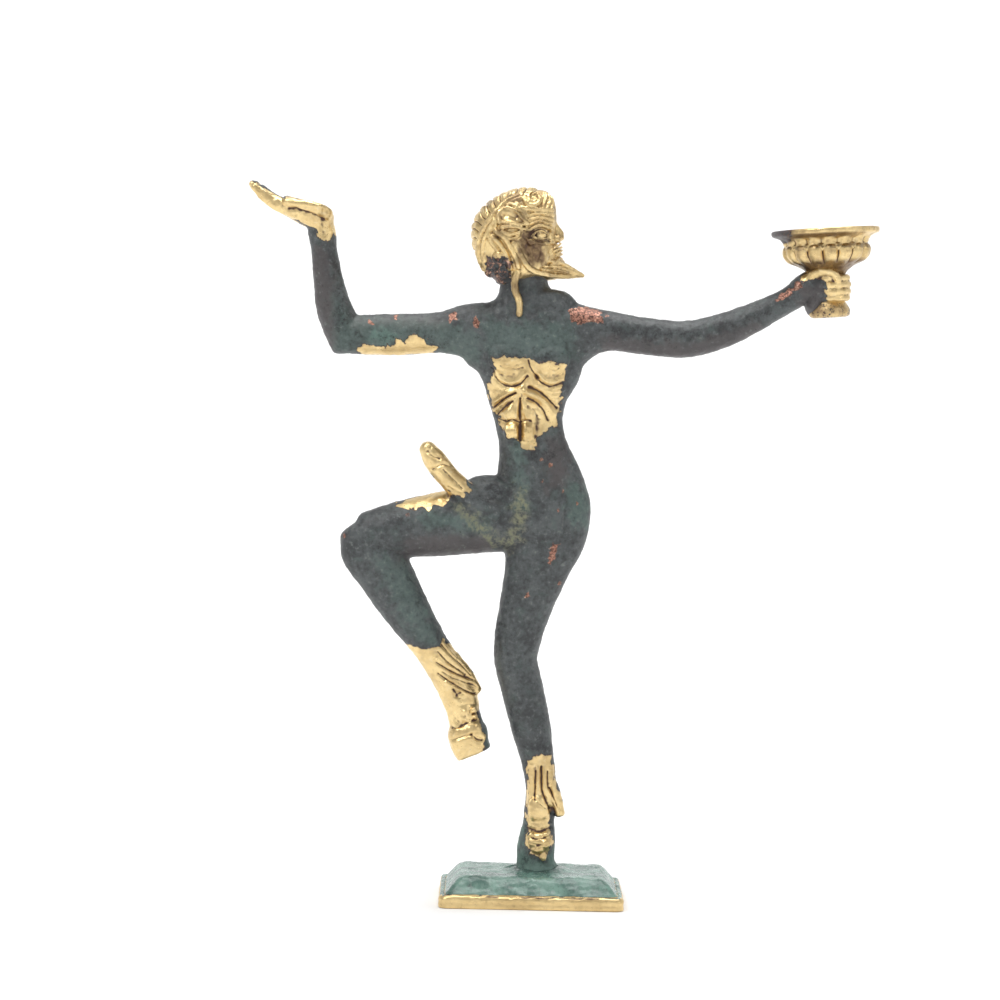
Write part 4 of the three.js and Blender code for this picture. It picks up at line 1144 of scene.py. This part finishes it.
def beard():
    """A pointed blade under the chin, with strands along it and a broad smooth band from the ear
    down the jaw."""
    forms = [limb([(-3.0, 132.2, 2.3, 4.6, 0), (1.0, 132.2, 2.3, 3.7, 0), (4.4, 132.0, 1.55, 2.3, 0),
                   (7.0, 131.3, 0.8, 1.2, 0), (8.2, 131.05, 0.4, 0.6, 0)],
                  domes=(0.5, 0.3), sides=24)]
    for side in BOTH_SIDES:
        forms += [
            rod([(-6.3, side * 6.75, 137.2), (-5.1, side * 6.6, 135.3), (-4.1, side * 6.2, 133.5),
                 (-2.6, side * 5.4, 131.9), (0.6, side * 4.1, 131.0), (3.6, side * 2.5, 130.8),
                 (6.4, side * 1.0, 130.9)], 1.15, start=0.6, tip=0.4, flat=0.85, sides=20),
            rod([(-0.4, side * 4.2, 133.6), (1.4, side * 3.5, 133.8), (3.4, side * 2.5, 133.5),
                 (5.3, side * 1.6, 132.7), (7.9, side * 0.4, 131.4)], 0.55, start=0.6, tip=0.5),
            rod([(0.0, side * 4.4, 132.6), (2.4, side * 3.4, 132.7), (4.9, side * 2.1, 132.2),
                 (7.9, side * 0.5, 131.2)], 0.42, start=0.6, tip=0.5),
            rod([(0.6, side * 4.3, 131.9), (2.6, side * 3.3, 132.0), (5.0, side * 2.1, 131.6)],
                0.36, start=0.6, tip=0.5),
        ]
    return forms


def ears():
    """A large pointed leaf laid forward on each side: a raised rim round a hollow, and a lobe."""
    rim = [(-9.4, 141.6), (-9.7, 143.2), (-8.3, 144.5), (-6.4, 144.0), (-4.9, 142.5), (-3.4, 141.2)]
    under = [(-9.4, 141.6), (-7.6, 141.6), (-5.4, 141.2), (-3.4, 141.2)]
    forms = []
    for side in BOTH_SIDES:
        forms += [
            ball((-7.2, side * 6.6, 142.7), (3.2, 0.9, 1.5), 24),
            laid(rim, 0.52, side, 0.6, tip=0.6),
            laid(under, 0.42, side, 0.5, tip=0.6),
            laid([(-9.0, 140.5), (-7.0, 140.7), (-5.0, 140.4), (-3.9, 140.1)], 0.5, side, 0.35, tip=0.6),
        ]
    return forms


def curl(side, x, z, radius, thickness, turns=1.5, start_angle=150.0, lift=0.2):
    """A curl laid on the head: an Archimedean spiral that winds inwards."""
    turn = np.linspace(0, turns * 2 * np.pi, int(14 * turns))
    reach = radius * (1 - 0.62 * turn / turn[-1])
    angle = turn + math.radians(start_angle)
    points = np.stack([x + reach * np.cos(angle), z + reach * np.sin(angle)], -1)
    y = side * (head_side(points[:, 0], np.clip(points[:, 1], 130.4, 147.8)) + lift)
    return rod(np.stack([points[:, 0], y, points[:, 1]], -1), thickness, tip=0.7, steps=1)


FILLET = [(-12.6, 132.0), (-13.6, 134.4), (-13.7, 137.3), (-12.8, 140.1), (-11.3, 142.4), (-9.6, 144.6),
          (-7.7, 146.3), (-5.6, 147.1)]


def hair():
    """Fillet cords from nape to brow, locks behind the ear and down the nape, curls, a short
    fringe, and a long lock that hangs on each side of the neck."""
    inner = [(x + 0.9, z - 0.35) for x, z in FILLET]
    strands = [
        (FILLET, 0.5, 1.0, 0.15),
        (inner, 0.4, 1.0, 0.15),
        ([(-10.2, 139.6), (-8.4, 138.4), (-7.0, 136.2), (-5.8, 133.9), (-5.3, 132.2)], 0.62, 0.8, 0.3),
        ([(-11.0, 138.6), (-9.2, 136.9), (-7.8, 134.6), (-6.9, 132.0)], 0.6, 0.8, 0.2),
        ([(-11.8, 139.6), (-11.2, 137.6), (-9.8, 135.9)], 0.5, 0.8, 0.1),
        ([(-8.8, 139.6), (-7.4, 139.1), (-6.0, 139.3), (-4.9, 139.8)], 0.42, 0.7, 0.35),
        ([(-8.2, 138.6), (-6.6, 138.2), (-5.2, 138.9)], 0.36, 0.7, 0.3),
        ([(-7.4, 145.5), (-5.4, 144.3), (-4.0, 142.3), (-3.9, 139.9)], 0.5, 0.6, 0.1),
        ([(-6.2, 145.6), (-4.6, 144.4), (-3.4, 142.9)], 0.4, 0.6, 0.1),
        ([(-10.6, 142.4), (-10.2, 140.8), (-11.0, 139.9)], 0.42, 0.8, 0.1),
        ([(-4.8, 144.7), (-3.2, 144.35), (-1.2, 144.4), (0.6, 144.4), (2.0, 144.4)], 0.42, 0.9, 0.15),
        ([(-0.2, 148.2), (0.1, 146.9), (-0.5, 145.2)], 0.42, 0.8, 0.15),
        ([(0.45, 147.8), (0.9, 146.3), (0.4, 144.9)], 0.4, 0.8, 0.15),
        ([(1.1, 147.2), (1.6, 145.9), (1.3, 144.7)], 0.36, 0.8, 0.15),
    ]
    forms = []
    for side in BOTH_SIDES:
        forms += [laid(points, radius, side, lift, tip=tip) for points, radius, tip, lift in strands]
        forms += [
            curl(side, -2.6, 146.7, 1.85, 0.55),
            curl(side, -9.6, 134.0, 1.15, 0.42, 1.3, 30),
            curl(side, -10.9, 131.6, 1.1, 0.42, 1.3, 200),
            curl(side, -8.2, 131.3, 1.15, 0.42, 1.3, 90),
            rod([(-5.3, side * 5.0, 132.2), (-6.0, side * 5.1, 129.6), (-5.9, side * 5.0, 127.6),
                 (-5.2, side * 4.8, 125.8), (-4.9, side * 4.8, 124.2), (-5.0, side * 4.8, 122.7)],
                0.95, tip=0.7, start=0.9, sides=16),
        ]
    return forms


def comb_relief(points):
    """Locks that radiate from the fillet over the back and crown: height is the rounded comb of
    the angle about the head's middle, outside the fillet and behind the brow."""
    x, z = points[:, 0] + 5.6, points[:, 2] - 139.6
    angle = np.degrees(np.arctan2(z, x)) % 360
    reach = np.hypot(x, z)
    fillet = np.array(FILLET[::-1]) - (-5.6, 139.6)
    begin = np.interp(angle, np.degrees(np.arctan2(*fillet.T[::-1])) % 360,
                      np.hypot(*fillet.T)) + 0.5
    lean = angle + 2.5 * (reach - begin) + 3.0 * waves(points, 6.0, 21)
    comb = (1 - np.abs(np.sin(np.radians(lean * 15)))) ** 2.2
    strand = 1 - np.abs(np.sin(np.radians(lean * 45 + 30)))
    zone = smooth(0.0, 0.5, reach - begin) * smooth(60, 68, angle) * smooth(228, 218, angle)
    return -(0.5 * comb + 0.1 * strand) * zone


HEAD_LINES = [
    ([(-8.6, 142.7), (-7.6, 143.0), (-6.2, 142.6)], 0.55, -0.5),
    ([(-2.9, 139.2), (-1.6, 139.4), (-0.2, 139.3), (0.8, 139.0)], 0.9, -0.4),
    ([(-3.6, 135.8), (-2.2, 135.0), (-1.4, 133.8)], 1.3, -0.45),
    ([(-4.4, 138.6), (-3.9, 137.0), (-3.4, 135.6)], 0.5, -0.3),
    ([(-2.4, 136.7), (-1.2, 136.2), (-0.4, 135.2), (-0.6, 134.0)], 0.4, -0.3),
    ([(1.0, 139.9), (1.2, 138.9), (1.0, 137.9)], 0.35, -0.25),
]


def cheek_outline():
    return [(-4.8, 140.0), (-2.9, 139.9), (-2.6, 138.4), (0.2, 138.0), (0.3, 135.6), (0.2, 133.6),
            (-1.6, 132.8), (-3.2, 133.9), (-4.6, 136.0), (-5.2, 137.9)]


def head_regions(points, normals):
    places = points[:, [0, 2]]
    ragged = 0.4 * waves(points, 1.8, 15) + 0.25 * waves(points, 0.8, 16)
    nape = [(-12.4, 134.6), (-7.0, 134.8), (-6.3, 130.6), (-6.0, 128.0), (-13.0, 128.0)]
    lock = [(-6.9, 132.6), (-4.6, 132.6), (-3.8, 122.0), (-6.2, 122.0)]
    on_lock = smooth(-0.3, 0.3, inside(places, lock))
    masks = {name: np.zeros(len(points)) for name in MASKS[:-1]}
    masks["polish"] = np.maximum(1 - 0.75 * smooth(-0.5, 0.9, inside(places, nape) + ragged), on_lock)
    masks["copper"] = smooth(-0.4, 0.6, inside(places, nape) + ragged) * 0.55 * (1 - on_lock)
    cheek = smooth(-1.3, 0.7, inside(places, cheek_outline()) + 1.4 * ragged)
    front = smooth(1.2, -0.6, points[:, 0])
    masks["brown"] = np.maximum(cheek * front * 0.9, smooth(0.1, 0.9, waves(points, 4.0, 17)) * 0.5)
    return masks


def make_head(sizes, colours):
    """The head's skin: skull, face, beard, ears and hair fused, then combed hair pushed in."""
    skin = Skin([skull(), *face(), *beard(), *ears(), *hair()], sizes.head_grain / MM)
    skin.relax(4)
    normals = skin_normals(skin)
    side = smooth(0.25, 0.7, np.abs(normals[:, 1]))
    height = comb_relief(skin.points) + drawn_relief(skin.points, HEAD_LINES) * side
    height += 0.03 * waves(skin.points, 1.3, 12) + 0.02 * waves(skin.points, 0.5, 13)
    skin.points += normals * height[:, None]
    skin.relax(2, 0.4)
    skin.write()
    mesh = thinned(skin.mesh, 190000)
    material = aged_bronze("head_bronze", colours, 0.75, seed=20.0)
    return finished("satyr_head", mesh, masks_for(mesh, head_regions), material,
                    "satyr_figure")


# The cup

def cup_profile(sizes):
    """Radius and height round the cup's section, from the middle of its foot up the outside,
    over the lip and down to the middle of the bowl."""
    rim = sizes.cup_radius / MM
    top = sizes.cup_height / MM
    bowl = CUP_BOWL_RADIUS
    corners = [
        (0.02, 0.15), (CUP_FOOT_RADIUS - 0.7, 0.05), (CUP_FOOT_RADIUS, 0.5), (CUP_FOOT_RADIUS + 0.05, 1.7),
        (CUP_FOOT_RADIUS - 0.4, 2.5), (CUP_STEM_RADIUS, 3.2), (CUP_STEM_RADIUS, 5.8),
        (CUP_STEM_RADIUS + 0.1, 8.4), (4.2, 9.6), (5.6, 10.6), (bowl - 1.2, 11.7), (bowl - 0.2, 12.9),
        (bowl, 13.9), (bowl - 0.25, 15.0), (bowl - 0.3, 15.5), (bowl, 16.2), (bowl + 1.1, 16.9),
        (rim - 0.25, top - 1.15), (rim - 0.05, top - 0.9), (rim, top - 0.25), (rim - 0.2, top),
        (rim - 0.8, top + 0.02), (rim - CUP_WALL, top - 0.25), (rim - 2.0, top - 1.2),
        (bowl - CUP_WALL, 15.4), (bowl - 2.0, 13.9), (5.2, 12.8), (2.6, 12.4), (0.02, 12.3),
    ]
    return curve_through(corners, 240)


def cup_form(sizes):
    """A surface of revolution whose radius also follows the angle: rounded lobes round the bowl,
    smaller beads over them, and a slightly uneven cast lip."""
    profile = cup_profile(sizes)
    around = 320
    angle = 2 * np.pi * np.arange(around) / around
    radius, height = profile[:, 0, None], profile[:, 1, None]
    outside = (np.arange(len(profile)) < 0.74 * len(profile))[:, None]
    lobe = np.abs(np.cos(angle * sizes.cup_lobes / 2))[None]
    arch = height + 1.1 * (1 - lobe) ** 1.5
    lobe_band = smooth(10.7, 11.9, height) * smooth(15.2, 14.7, arch) * outside
    bead = np.abs(np.cos(angle * sizes.cup_lobes / 2 + 0.25 * np.sin(3 * angle)))[None]
    bead_band = smooth(15.0, 15.5, height) * smooth(16.7, 16.2, height) * outside
    points = np.stack([np.cos(angle)[None] * radius, np.sin(angle)[None] * radius,
                       np.broadcast_to(height, (len(profile), around))], -1)
    worn = 0.75 + 0.25 * np.sin(5 * angle + 1) * np.sin(2 * angle)
    push = lobe_band * (1.15 * lobe ** 0.6 - 0.8) + bead_band * (0.75 * bead ** 0.8 * worn[None] - 0.3)
    flat = points.reshape(-1, 3)
    push = push.ravel() + np.where(radius > 2, 0.045, 0.0).repeat(around, 1).ravel() * waves(flat, 1.6, 31)
    out = unit(flat * np.array([1, 1, 0]))
    points = (flat + out * push[:, None]).reshape(points.shape)
    grid = turned_about_y(points.reshape(-1, 3), CUP_LEAN).reshape(points.shape) + np.array(CUP_FOOT_PLACE)
    return closed_grid(grid, cup_place(0, 0, 0.15), cup_place(0, 0, 12.3))


def cup_regions(points, normals):
    local = turned_about_y(points - np.array(CUP_FOOT_PLACE), -CUP_LEAN)
    radius = np.hypot(local[:, 0], local[:, 1])
    height = local[:, 2]
    inward = (local[:, :2] * normals[:, :2]).sum(1) < 0
    inner = (radius < 9.9) & (height > 12.0) & (inward | (normals[:, 2] > 0.2))
    masks = {name: np.zeros(len(points)) for name in MASKS[:-1]}
    under = smooth(12.3, 11.2, height) * smooth(7.6, 8.6, height)
    left_lip = smooth(-6.0, -9.0, local[:, 0]) * smooth(15.4, 16.2, height)
    foot = smooth(3.6, 2.8, height)
    flare = smooth(16.3, 16.8, height) * smooth(17.6, 17.3, height) * smooth(7.0, 2.0, local[:, 0])
    masks["polish"] = 1 - 0.75 * left_lip - 0.45 * foot
    masks["copper"] = foot * 0.7
    masks["brown"] = np.maximum(under * 0.85, left_lip)
    masks["brown"] = np.maximum(masks["brown"], inner * 0.6)
    masks["brown"] = np.maximum(masks["brown"], flare * 0.75)
    return masks


def make_cup(sizes, colours):
    points, faces = cup_form(sizes)
    mesh = mesh_of("cup", points, faces)
    material = aged_bronze("cup_bronze", colours, 0.7, seed=30.0)
    return finished("satyr_cup", mesh, masks_for(mesh, cup_regions), material,
                    "satyr_figure")


# The plinth

def plinth_form(sizes):
    """A rounded rectangle's outline, carried inwards and upwards: rim, chamfer, groove, slopes and
    flat top. Each ring is the outline moved in by `inset`, and rings lie close together."""
    half_x, half_y, top = (sizes.plinth_length / 2 / MM, sizes.plinth_depth / 2 / MM,
                           sizes.plinth_height / MM)
    rim_height = 2.75
    corners = [(0.45, 0.0), (0.12, 0.12), (0.0, 0.5), (0.05, 1.2), (0.0, 1.9), (0.1, 2.3),
               (0.35, 2.62), (0.7, rim_height), (0.95, 2.7), (1.1, 2.62), (1.3, 2.85),
               (2.4, 4.1), (3.6, 5.45), (4.3, 6.0), (5.0, top - 0.05), (6.4, top), (9.0, top),
               (13.0, top)]
    profile = curve_through(corners, 150)
    profile[:, 1] = np.clip(profile[:, 1], 0, top)
    around = 520
    turn = 2 * np.pi * (np.arange(around) + 0.5) / around
    inset = profile[:, 0, None]
    corner = np.maximum(1.7 - 0.12 * inset, 0.6)
    span_x, span_y = half_x - inset, half_y - inset
    core_x, core_y = span_x - corner, span_y - corner
    ray = np.stack([np.cos(turn) * half_x, np.sin(turn) * half_y], -1)
    ray = ray / np.maximum(np.abs(ray[:, 0]) / half_x, np.abs(ray[:, 1]) / half_y)[:, None]
    x = ray[None, :, 0] / half_x * span_x
    y = ray[None, :, 1] / half_y * span_y
    near_x, near_y = np.clip(x, -core_x, core_x), np.clip(y, -core_y, core_y)
    away = np.stack([x - near_x, y - near_y], -1)
    length = np.linalg.norm(away, axis=-1, keepdims=True)
    away = np.where(length > 1e-9, away / np.maximum(length, 1e-9), 0)
    on_corner = (np.abs(x) > core_x) & (np.abs(y) > core_y)
    corner_grid = np.broadcast_to(corner, x.shape)[..., None]
    x = np.where(on_corner, near_x + (away * corner_grid)[..., 0], x)
    y = np.where(on_corner, near_y + (away * corner_grid)[..., 1], y)
    z = np.broadcast_to(profile[:, 1, None], x.shape)
    return np.stack([x, y, z], -1)


def make_plinth(sizes, colours):
    grid = plinth_form(sizes)
    flat = grid.reshape(-1, 3)
    top = sizes.plinth_height / MM
    bulge = smooth(0.6, 2.4, flat[:, 2]) * smooth(0, 0.3, flat[:, 2])
    uneven = 0.09 * waves(flat, 4.5, 51) + 0.045 * waves(flat, 1.4, 52)
    foot = np.hypot((flat[:, 0] - 1.1) / 1.15, flat[:, 1])
    # The fillet of solder and corrosion round the stem's foot rises as a bell curve
    mound = 0.9 * np.exp(-((np.maximum(foot - 3.6, 0)) / 1.9) ** 2) * smooth(4.0, 6.0, flat[:, 2])
    flat = flat.copy()
    flat[:, 2] += (uneven - 0.08) * bulge + mound
    rim = flat[:, 2] < 2.75
    scale = np.where(rim, 0.05 * waves(flat, 1.5, 53) - 0.06, 0.0)
    out = unit(flat * np.array([1, 1, 0]))
    flat[:, :2] += out[:, :2] * scale[:, None] * smooth(0, 0.6, flat[:, 2])[:, None]
    flat[:, 2] = np.clip(flat[:, 2], 0, None)
    grid = flat.reshape(grid.shape)
    points, faces = closed_grid(grid, np.array([0, 0, 0.0]), np.array([0, 0, top + 0.85]))
    mesh = mesh_of("plinth", points, faces)

    def regions(points, normals):
        edge = np.maximum(np.abs(points[:, 0]) - PLINTH_BOX[1].x / MM,
                          np.abs(points[:, 1]) - PLINTH_BOX[1].y / MM)
        front = smooth(0.9, 0.3, normals[:, 2])
        ledge = smooth(-0.95, -0.7, edge + 0.12 * waves(points, 2.0, 54)) * (points[:, 1] < -12)
        worn = np.maximum(front * smooth(3.0, 2.7, points[:, 2]), ledge)
        groove = np.exp(-((edge + 0.4) / 0.16) ** 2) * smooth(2.2, 2.5, points[:, 2])
        groove = groove * smooth(-0.5, 0.2, waves(points, 6.0, 55)) * (points[:, 1] < -13)
        stem = np.hypot(points[:, 0] - 1.1, points[:, 1])
        masks = {"char": smooth(7.0, 4.6, stem + 0.8 * waves(points, 1.6, 56)) * 0.7}
        masks["polish"] = worn
        masks["brown"] = groove * 0.9
        return masks

    return finished("satyr_plinth", mesh, masks_for(mesh, regions), plinth_finish(colours),
                    "plinth")


# The stage: floor and backdrop in one sweep, lights and camera

CAMERA_PLACE = (-8.15, -650.0, 115.0)
CAMERA_AIM = (-8.15, 0.0, 83.88)
CAMERA_ROLL = 1.2
CAMERA_LENS = 36 * 3.11


def make_camera():
    """A camera whose matrix columns are right, up and back, rolled so that the figure's right
    side lies a little lower."""
    place, aim = Vector(CAMERA_PLACE) * MM, Vector(CAMERA_AIM) * MM
    back = (place - aim).normalized()
    right = Vector((0, 0, 1)).cross(back).normalized()
    up = back.cross(right)
    c, s = math.cos(math.radians(CAMERA_ROLL)), math.sin(math.radians(CAMERA_ROLL))
    rolled_right = right * c + up * s
    rolled_up = up * c - right * s
    data = bpy.data.cameras.new("camera")
    data.lens = CAMERA_LENS
    data.sensor_width = 36
    data.clip_start = 0.01
    camera = bpy.data.objects.new("camera", data)
    bpy.context.scene.collection.objects.link(camera)
    columns = Matrix((rolled_right, rolled_up, back)).transposed()
    camera.matrix_world = Matrix.Translation(place) @ columns.to_4x4()
    bpy.context.scene.camera = camera


def make_backdrop(colours):
    """A round level floor that curves up into a wall: a quarter circle between two straight runs,
    turned about the Z axis."""
    floor_radius, bend, height = 1.5, 0.8, 2.6
    rise = np.linspace(0, np.pi / 2, 20)
    radius = np.r_[0.1, 0.5, floor_radius + bend * np.sin(rise), floor_radius + bend]
    z = np.r_[0, 0, bend * (1 - np.cos(rise)), height]
    turn = 2 * np.pi * np.arange(96) / 96
    grid = np.stack([np.cos(turn) * radius[:, None], np.sin(turn) * radius[:, None],
                     np.broadcast_to(z[:, None], (len(z), 96))], -1)
    number = np.arange(len(z) * 96).reshape(len(z), 96)
    beside = np.roll(number, -1, axis=1)
    faces = np.stack([number[:-1], number[1:], beside[1:], beside[:-1]], -1).reshape(-1, 4)
    mesh = mesh_of("floor", grid.reshape(-1, 3), [faces, number[:1]])
    mesh.shade_smooth()
    finish = Finish("floor_white")
    finish.shader.inputs["Base Color"].default_value = (*colours.floor, 1)
    finish.shader.inputs["Roughness"].default_value = 0.9
    finish.shader.inputs["Specular IOR Level"].default_value = 0.1
    mesh.materials.append(finish.material)
    floor = bpy.data.objects.new("floor", mesh)
    bpy.context.scene.collection.objects.link(floor)


def make_light(name, place, aim, size, power):
    data = bpy.data.lights.new(name, "AREA")
    data.shape = "DISK"
    data.size = size
    data.energy = power
    light = bpy.data.objects.new(name, data)
    bpy.context.scene.collection.objects.link(light)
    light.location = place
    light.rotation_euler = (Vector(aim) - Vector(place)).to_track_quat("-Z", "Y").to_euler()


# What a user can change

def colour(name, description, value):
    return bpy.props.FloatVectorProperty(name=name, description=description, subtype="COLOR",
                                         size=3, min=0, max=1, default=value)


def length(name, description, value):
    return bpy.props.FloatProperty(name=name, description=description, unit="LENGTH",
                                   default=value, min=0.00005, precision=5)


class SatyrSizes(bpy.types.PropertyGroup):
    body_grain: length("Body grain", "Size of the smallest detail kept on the body", 0.00021)
    head_grain: length("Head grain", "Size of the smallest detail kept on the head", 0.00014)
    cup_radius: length("Cup radius", "Outer radius of the cup's lip", 0.0112)
    cup_height: length("Cup height", "Height of the cup along its own axis", 0.0184)
    cup_lobes: bpy.props.IntProperty(name="Cup lobes", description="Lobes round the bowl",
                                     default=16, min=6, max=32)
    plinth_length: length("Plinth length", "Length of the plinth at its rim",
                          PLINTH_BOX[1].x - PLINTH_BOX[0].x)
    plinth_depth: length("Plinth depth", "Depth of the plinth at its rim",
                         PLINTH_BOX[1].y - PLINTH_BOX[0].y)
    plinth_height: length("Plinth height", "Height of the plinth's flat top",
                          PLINTH_BOX[1].z - PLINTH_BOX[0].z)


class SatyrColours(bpy.types.PropertyGroup):
    patina_black: colour("Black patina", "Pits and deep hollows", (0.012, 0.012, 0.014))
    patina_dark: colour("Dark patina", "Charcoal clouds", (0.034, 0.036, 0.038))
    patina_slate: colour("Slate patina", "Blue-grey over most of the figure", (0.085, 0.095, 0.096))
    patina_pale: colour("Pale patina", "Dusty flecks", (0.2, 0.225, 0.205))
    patina_green: colour("Green patina", "Thin green in the slate", (0.075, 0.105, 0.095))
    plum: colour("Plum patina", "Smooth brown-grey places", (0.075, 0.064, 0.064))
    verdigris: colour("Verdigris", "Pale green corrosion", (0.12, 0.2, 0.17))
    verdigris_deep: colour("Deep verdigris", "Darker clouds in it", (0.075, 0.145, 0.12))
    plinth_green: colour("Plinth green", "Green of the plinth's slopes", (0.17, 0.29, 0.24))
    olive: colour("Olive dust", "Yellow-green crust in the groin", (0.2, 0.2, 0.12))
    gold: colour("Bright bronze", "Metal that is rubbed bare", (0.84, 0.64, 0.32))
    gold_deep: colour("Deep bronze", "Less bright metal in clouds", (0.68, 0.5, 0.24))
    gold_pale: colour("Pale bronze", "Whitish wear in the metal", (0.86, 0.74, 0.5))
    tarnish: colour("Tarnish", "Brown dirt on the metal", (0.3, 0.19, 0.1))
    copper: colour("Copper", "Reddish metal in small places", (0.42, 0.2, 0.14))
    copper_pale: colour("Pale copper", "Rubbed reddish metal", (0.75, 0.48, 0.34))
    rust: colour("Rust brown", "Crust round the bright places", (0.16, 0.075, 0.045))
    recess: colour("Recess", "Purple-brown in hollows of the bright parts", (0.085, 0.045, 0.035))
    floor: colour("Floor", "Floor and backdrop", (0.93, 0.93, 0.93))


class PieceOperator:
    """What the operators share: each makes its piece and is done."""

    bl_options = {"REGISTER"}

    def execute(self, context):
        self.make(context.scene.satyr_sizes, context.scene.satyr_colours)
        return {"FINISHED"}


class SATYR_OT_body(PieceOperator, bpy.types.Operator):
    """Make the body with arms, legs, hands and hooves"""

    bl_idname = "satyr.body"
    bl_label = "Make body"

    def make(self, sizes, colours):
        make_body(sizes, colours)


class SATYR_OT_head(PieceOperator, bpy.types.Operator):
    """Make the head with face, beard, ears and hair"""

    bl_idname = "satyr.head"
    bl_label = "Make head"

    def make(self, sizes, colours):
        make_head(sizes, colours)


class SATYR_OT_cup(PieceOperator, bpy.types.Operator):
    """Make the lobed cup"""

    bl_idname = "satyr.cup"
    bl_label = "Make cup"

    def make(self, sizes, colours):
        make_cup(sizes, colours)


class SATYR_OT_plinth(PieceOperator, bpy.types.Operator):
    """Make the sloped plinth"""

    bl_idname = "satyr.plinth"
    bl_label = "Make plinth"

    def make(self, sizes, colours):
        make_plinth(sizes, colours)


class SATYR_OT_stage(PieceOperator, bpy.types.Operator):
    """Make the floor, the lights and the camera"""

    bl_idname = "satyr.stage"
    bl_label = "Make stage"

    def make(self, sizes, colours):
        make_backdrop(colours)
        middle = (0, 0, 0.08)
        make_light("key_light", (-0.7, -0.7, 1.25), middle, 0.45, 8)
        make_light("fill_light", (1.1, -0.8, 0.7), middle, 0.6, 1.5)
        make_light("top_light", (0.1, 0.1, 1.6), middle, 1.1, 17.5)
        make_light("backdrop_light", (0, 0.9, 1.5), (0, 2.3, 0.5), 1.0, 16)
        world = bpy.data.worlds.new("studio")
        world.use_nodes = True
        world.node_tree.nodes["Background"].inputs["Color"].default_value = (1, 1, 1, 1)
        world.node_tree.nodes["Background"].inputs["Strength"].default_value = 0.2
        bpy.context.scene.world = world
        bpy.context.scene.view_settings.view_transform = "Standard"
        make_camera()


class SATYR_PT_panel(bpy.types.Panel):
    bl_label = "Bronze satyr"
    bl_idname = "SATYR_PT_panel"
    bl_space_type = "VIEW_3D"
    bl_region_type = "UI"
    bl_category = "Satyr"

    def draw(self, context):
        for group in (context.scene.satyr_sizes, context.scene.satyr_colours):
            for name in group.bl_rna.properties.keys():
                if name not in ("rna_type", "name"):
                    self.layout.prop(group, name)
        for operator in PIECE_OPERATORS:
            self.layout.operator(operator.bl_idname)


PIECE_OPERATORS = (SATYR_OT_plinth, SATYR_OT_body, SATYR_OT_head, SATYR_OT_cup, SATYR_OT_stage)
CLASSES = (SatyrSizes, SatyrColours, *PIECE_OPERATORS, SATYR_PT_panel)


def register():
    for cls in CLASSES:
        bpy.utils.register_class(cls)
    bpy.types.Scene.satyr_sizes = bpy.props.PointerProperty(type=SatyrSizes)
    bpy.types.Scene.satyr_colours = bpy.props.PointerProperty(type=SatyrColours)


def unregister():
    del bpy.types.Scene.satyr_sizes
    del bpy.types.Scene.satyr_colours
    for cls in reversed(CLASSES):
        bpy.utils.unregister_class(cls)


def main():
    register()
    bpy.ops.satyr.plinth()
    bpy.ops.satyr.body()
    bpy.ops.satyr.head()
    bpy.ops.satyr.cup()
    bpy.ops.satyr.stage()


if __name__ == "__main__":
    main()
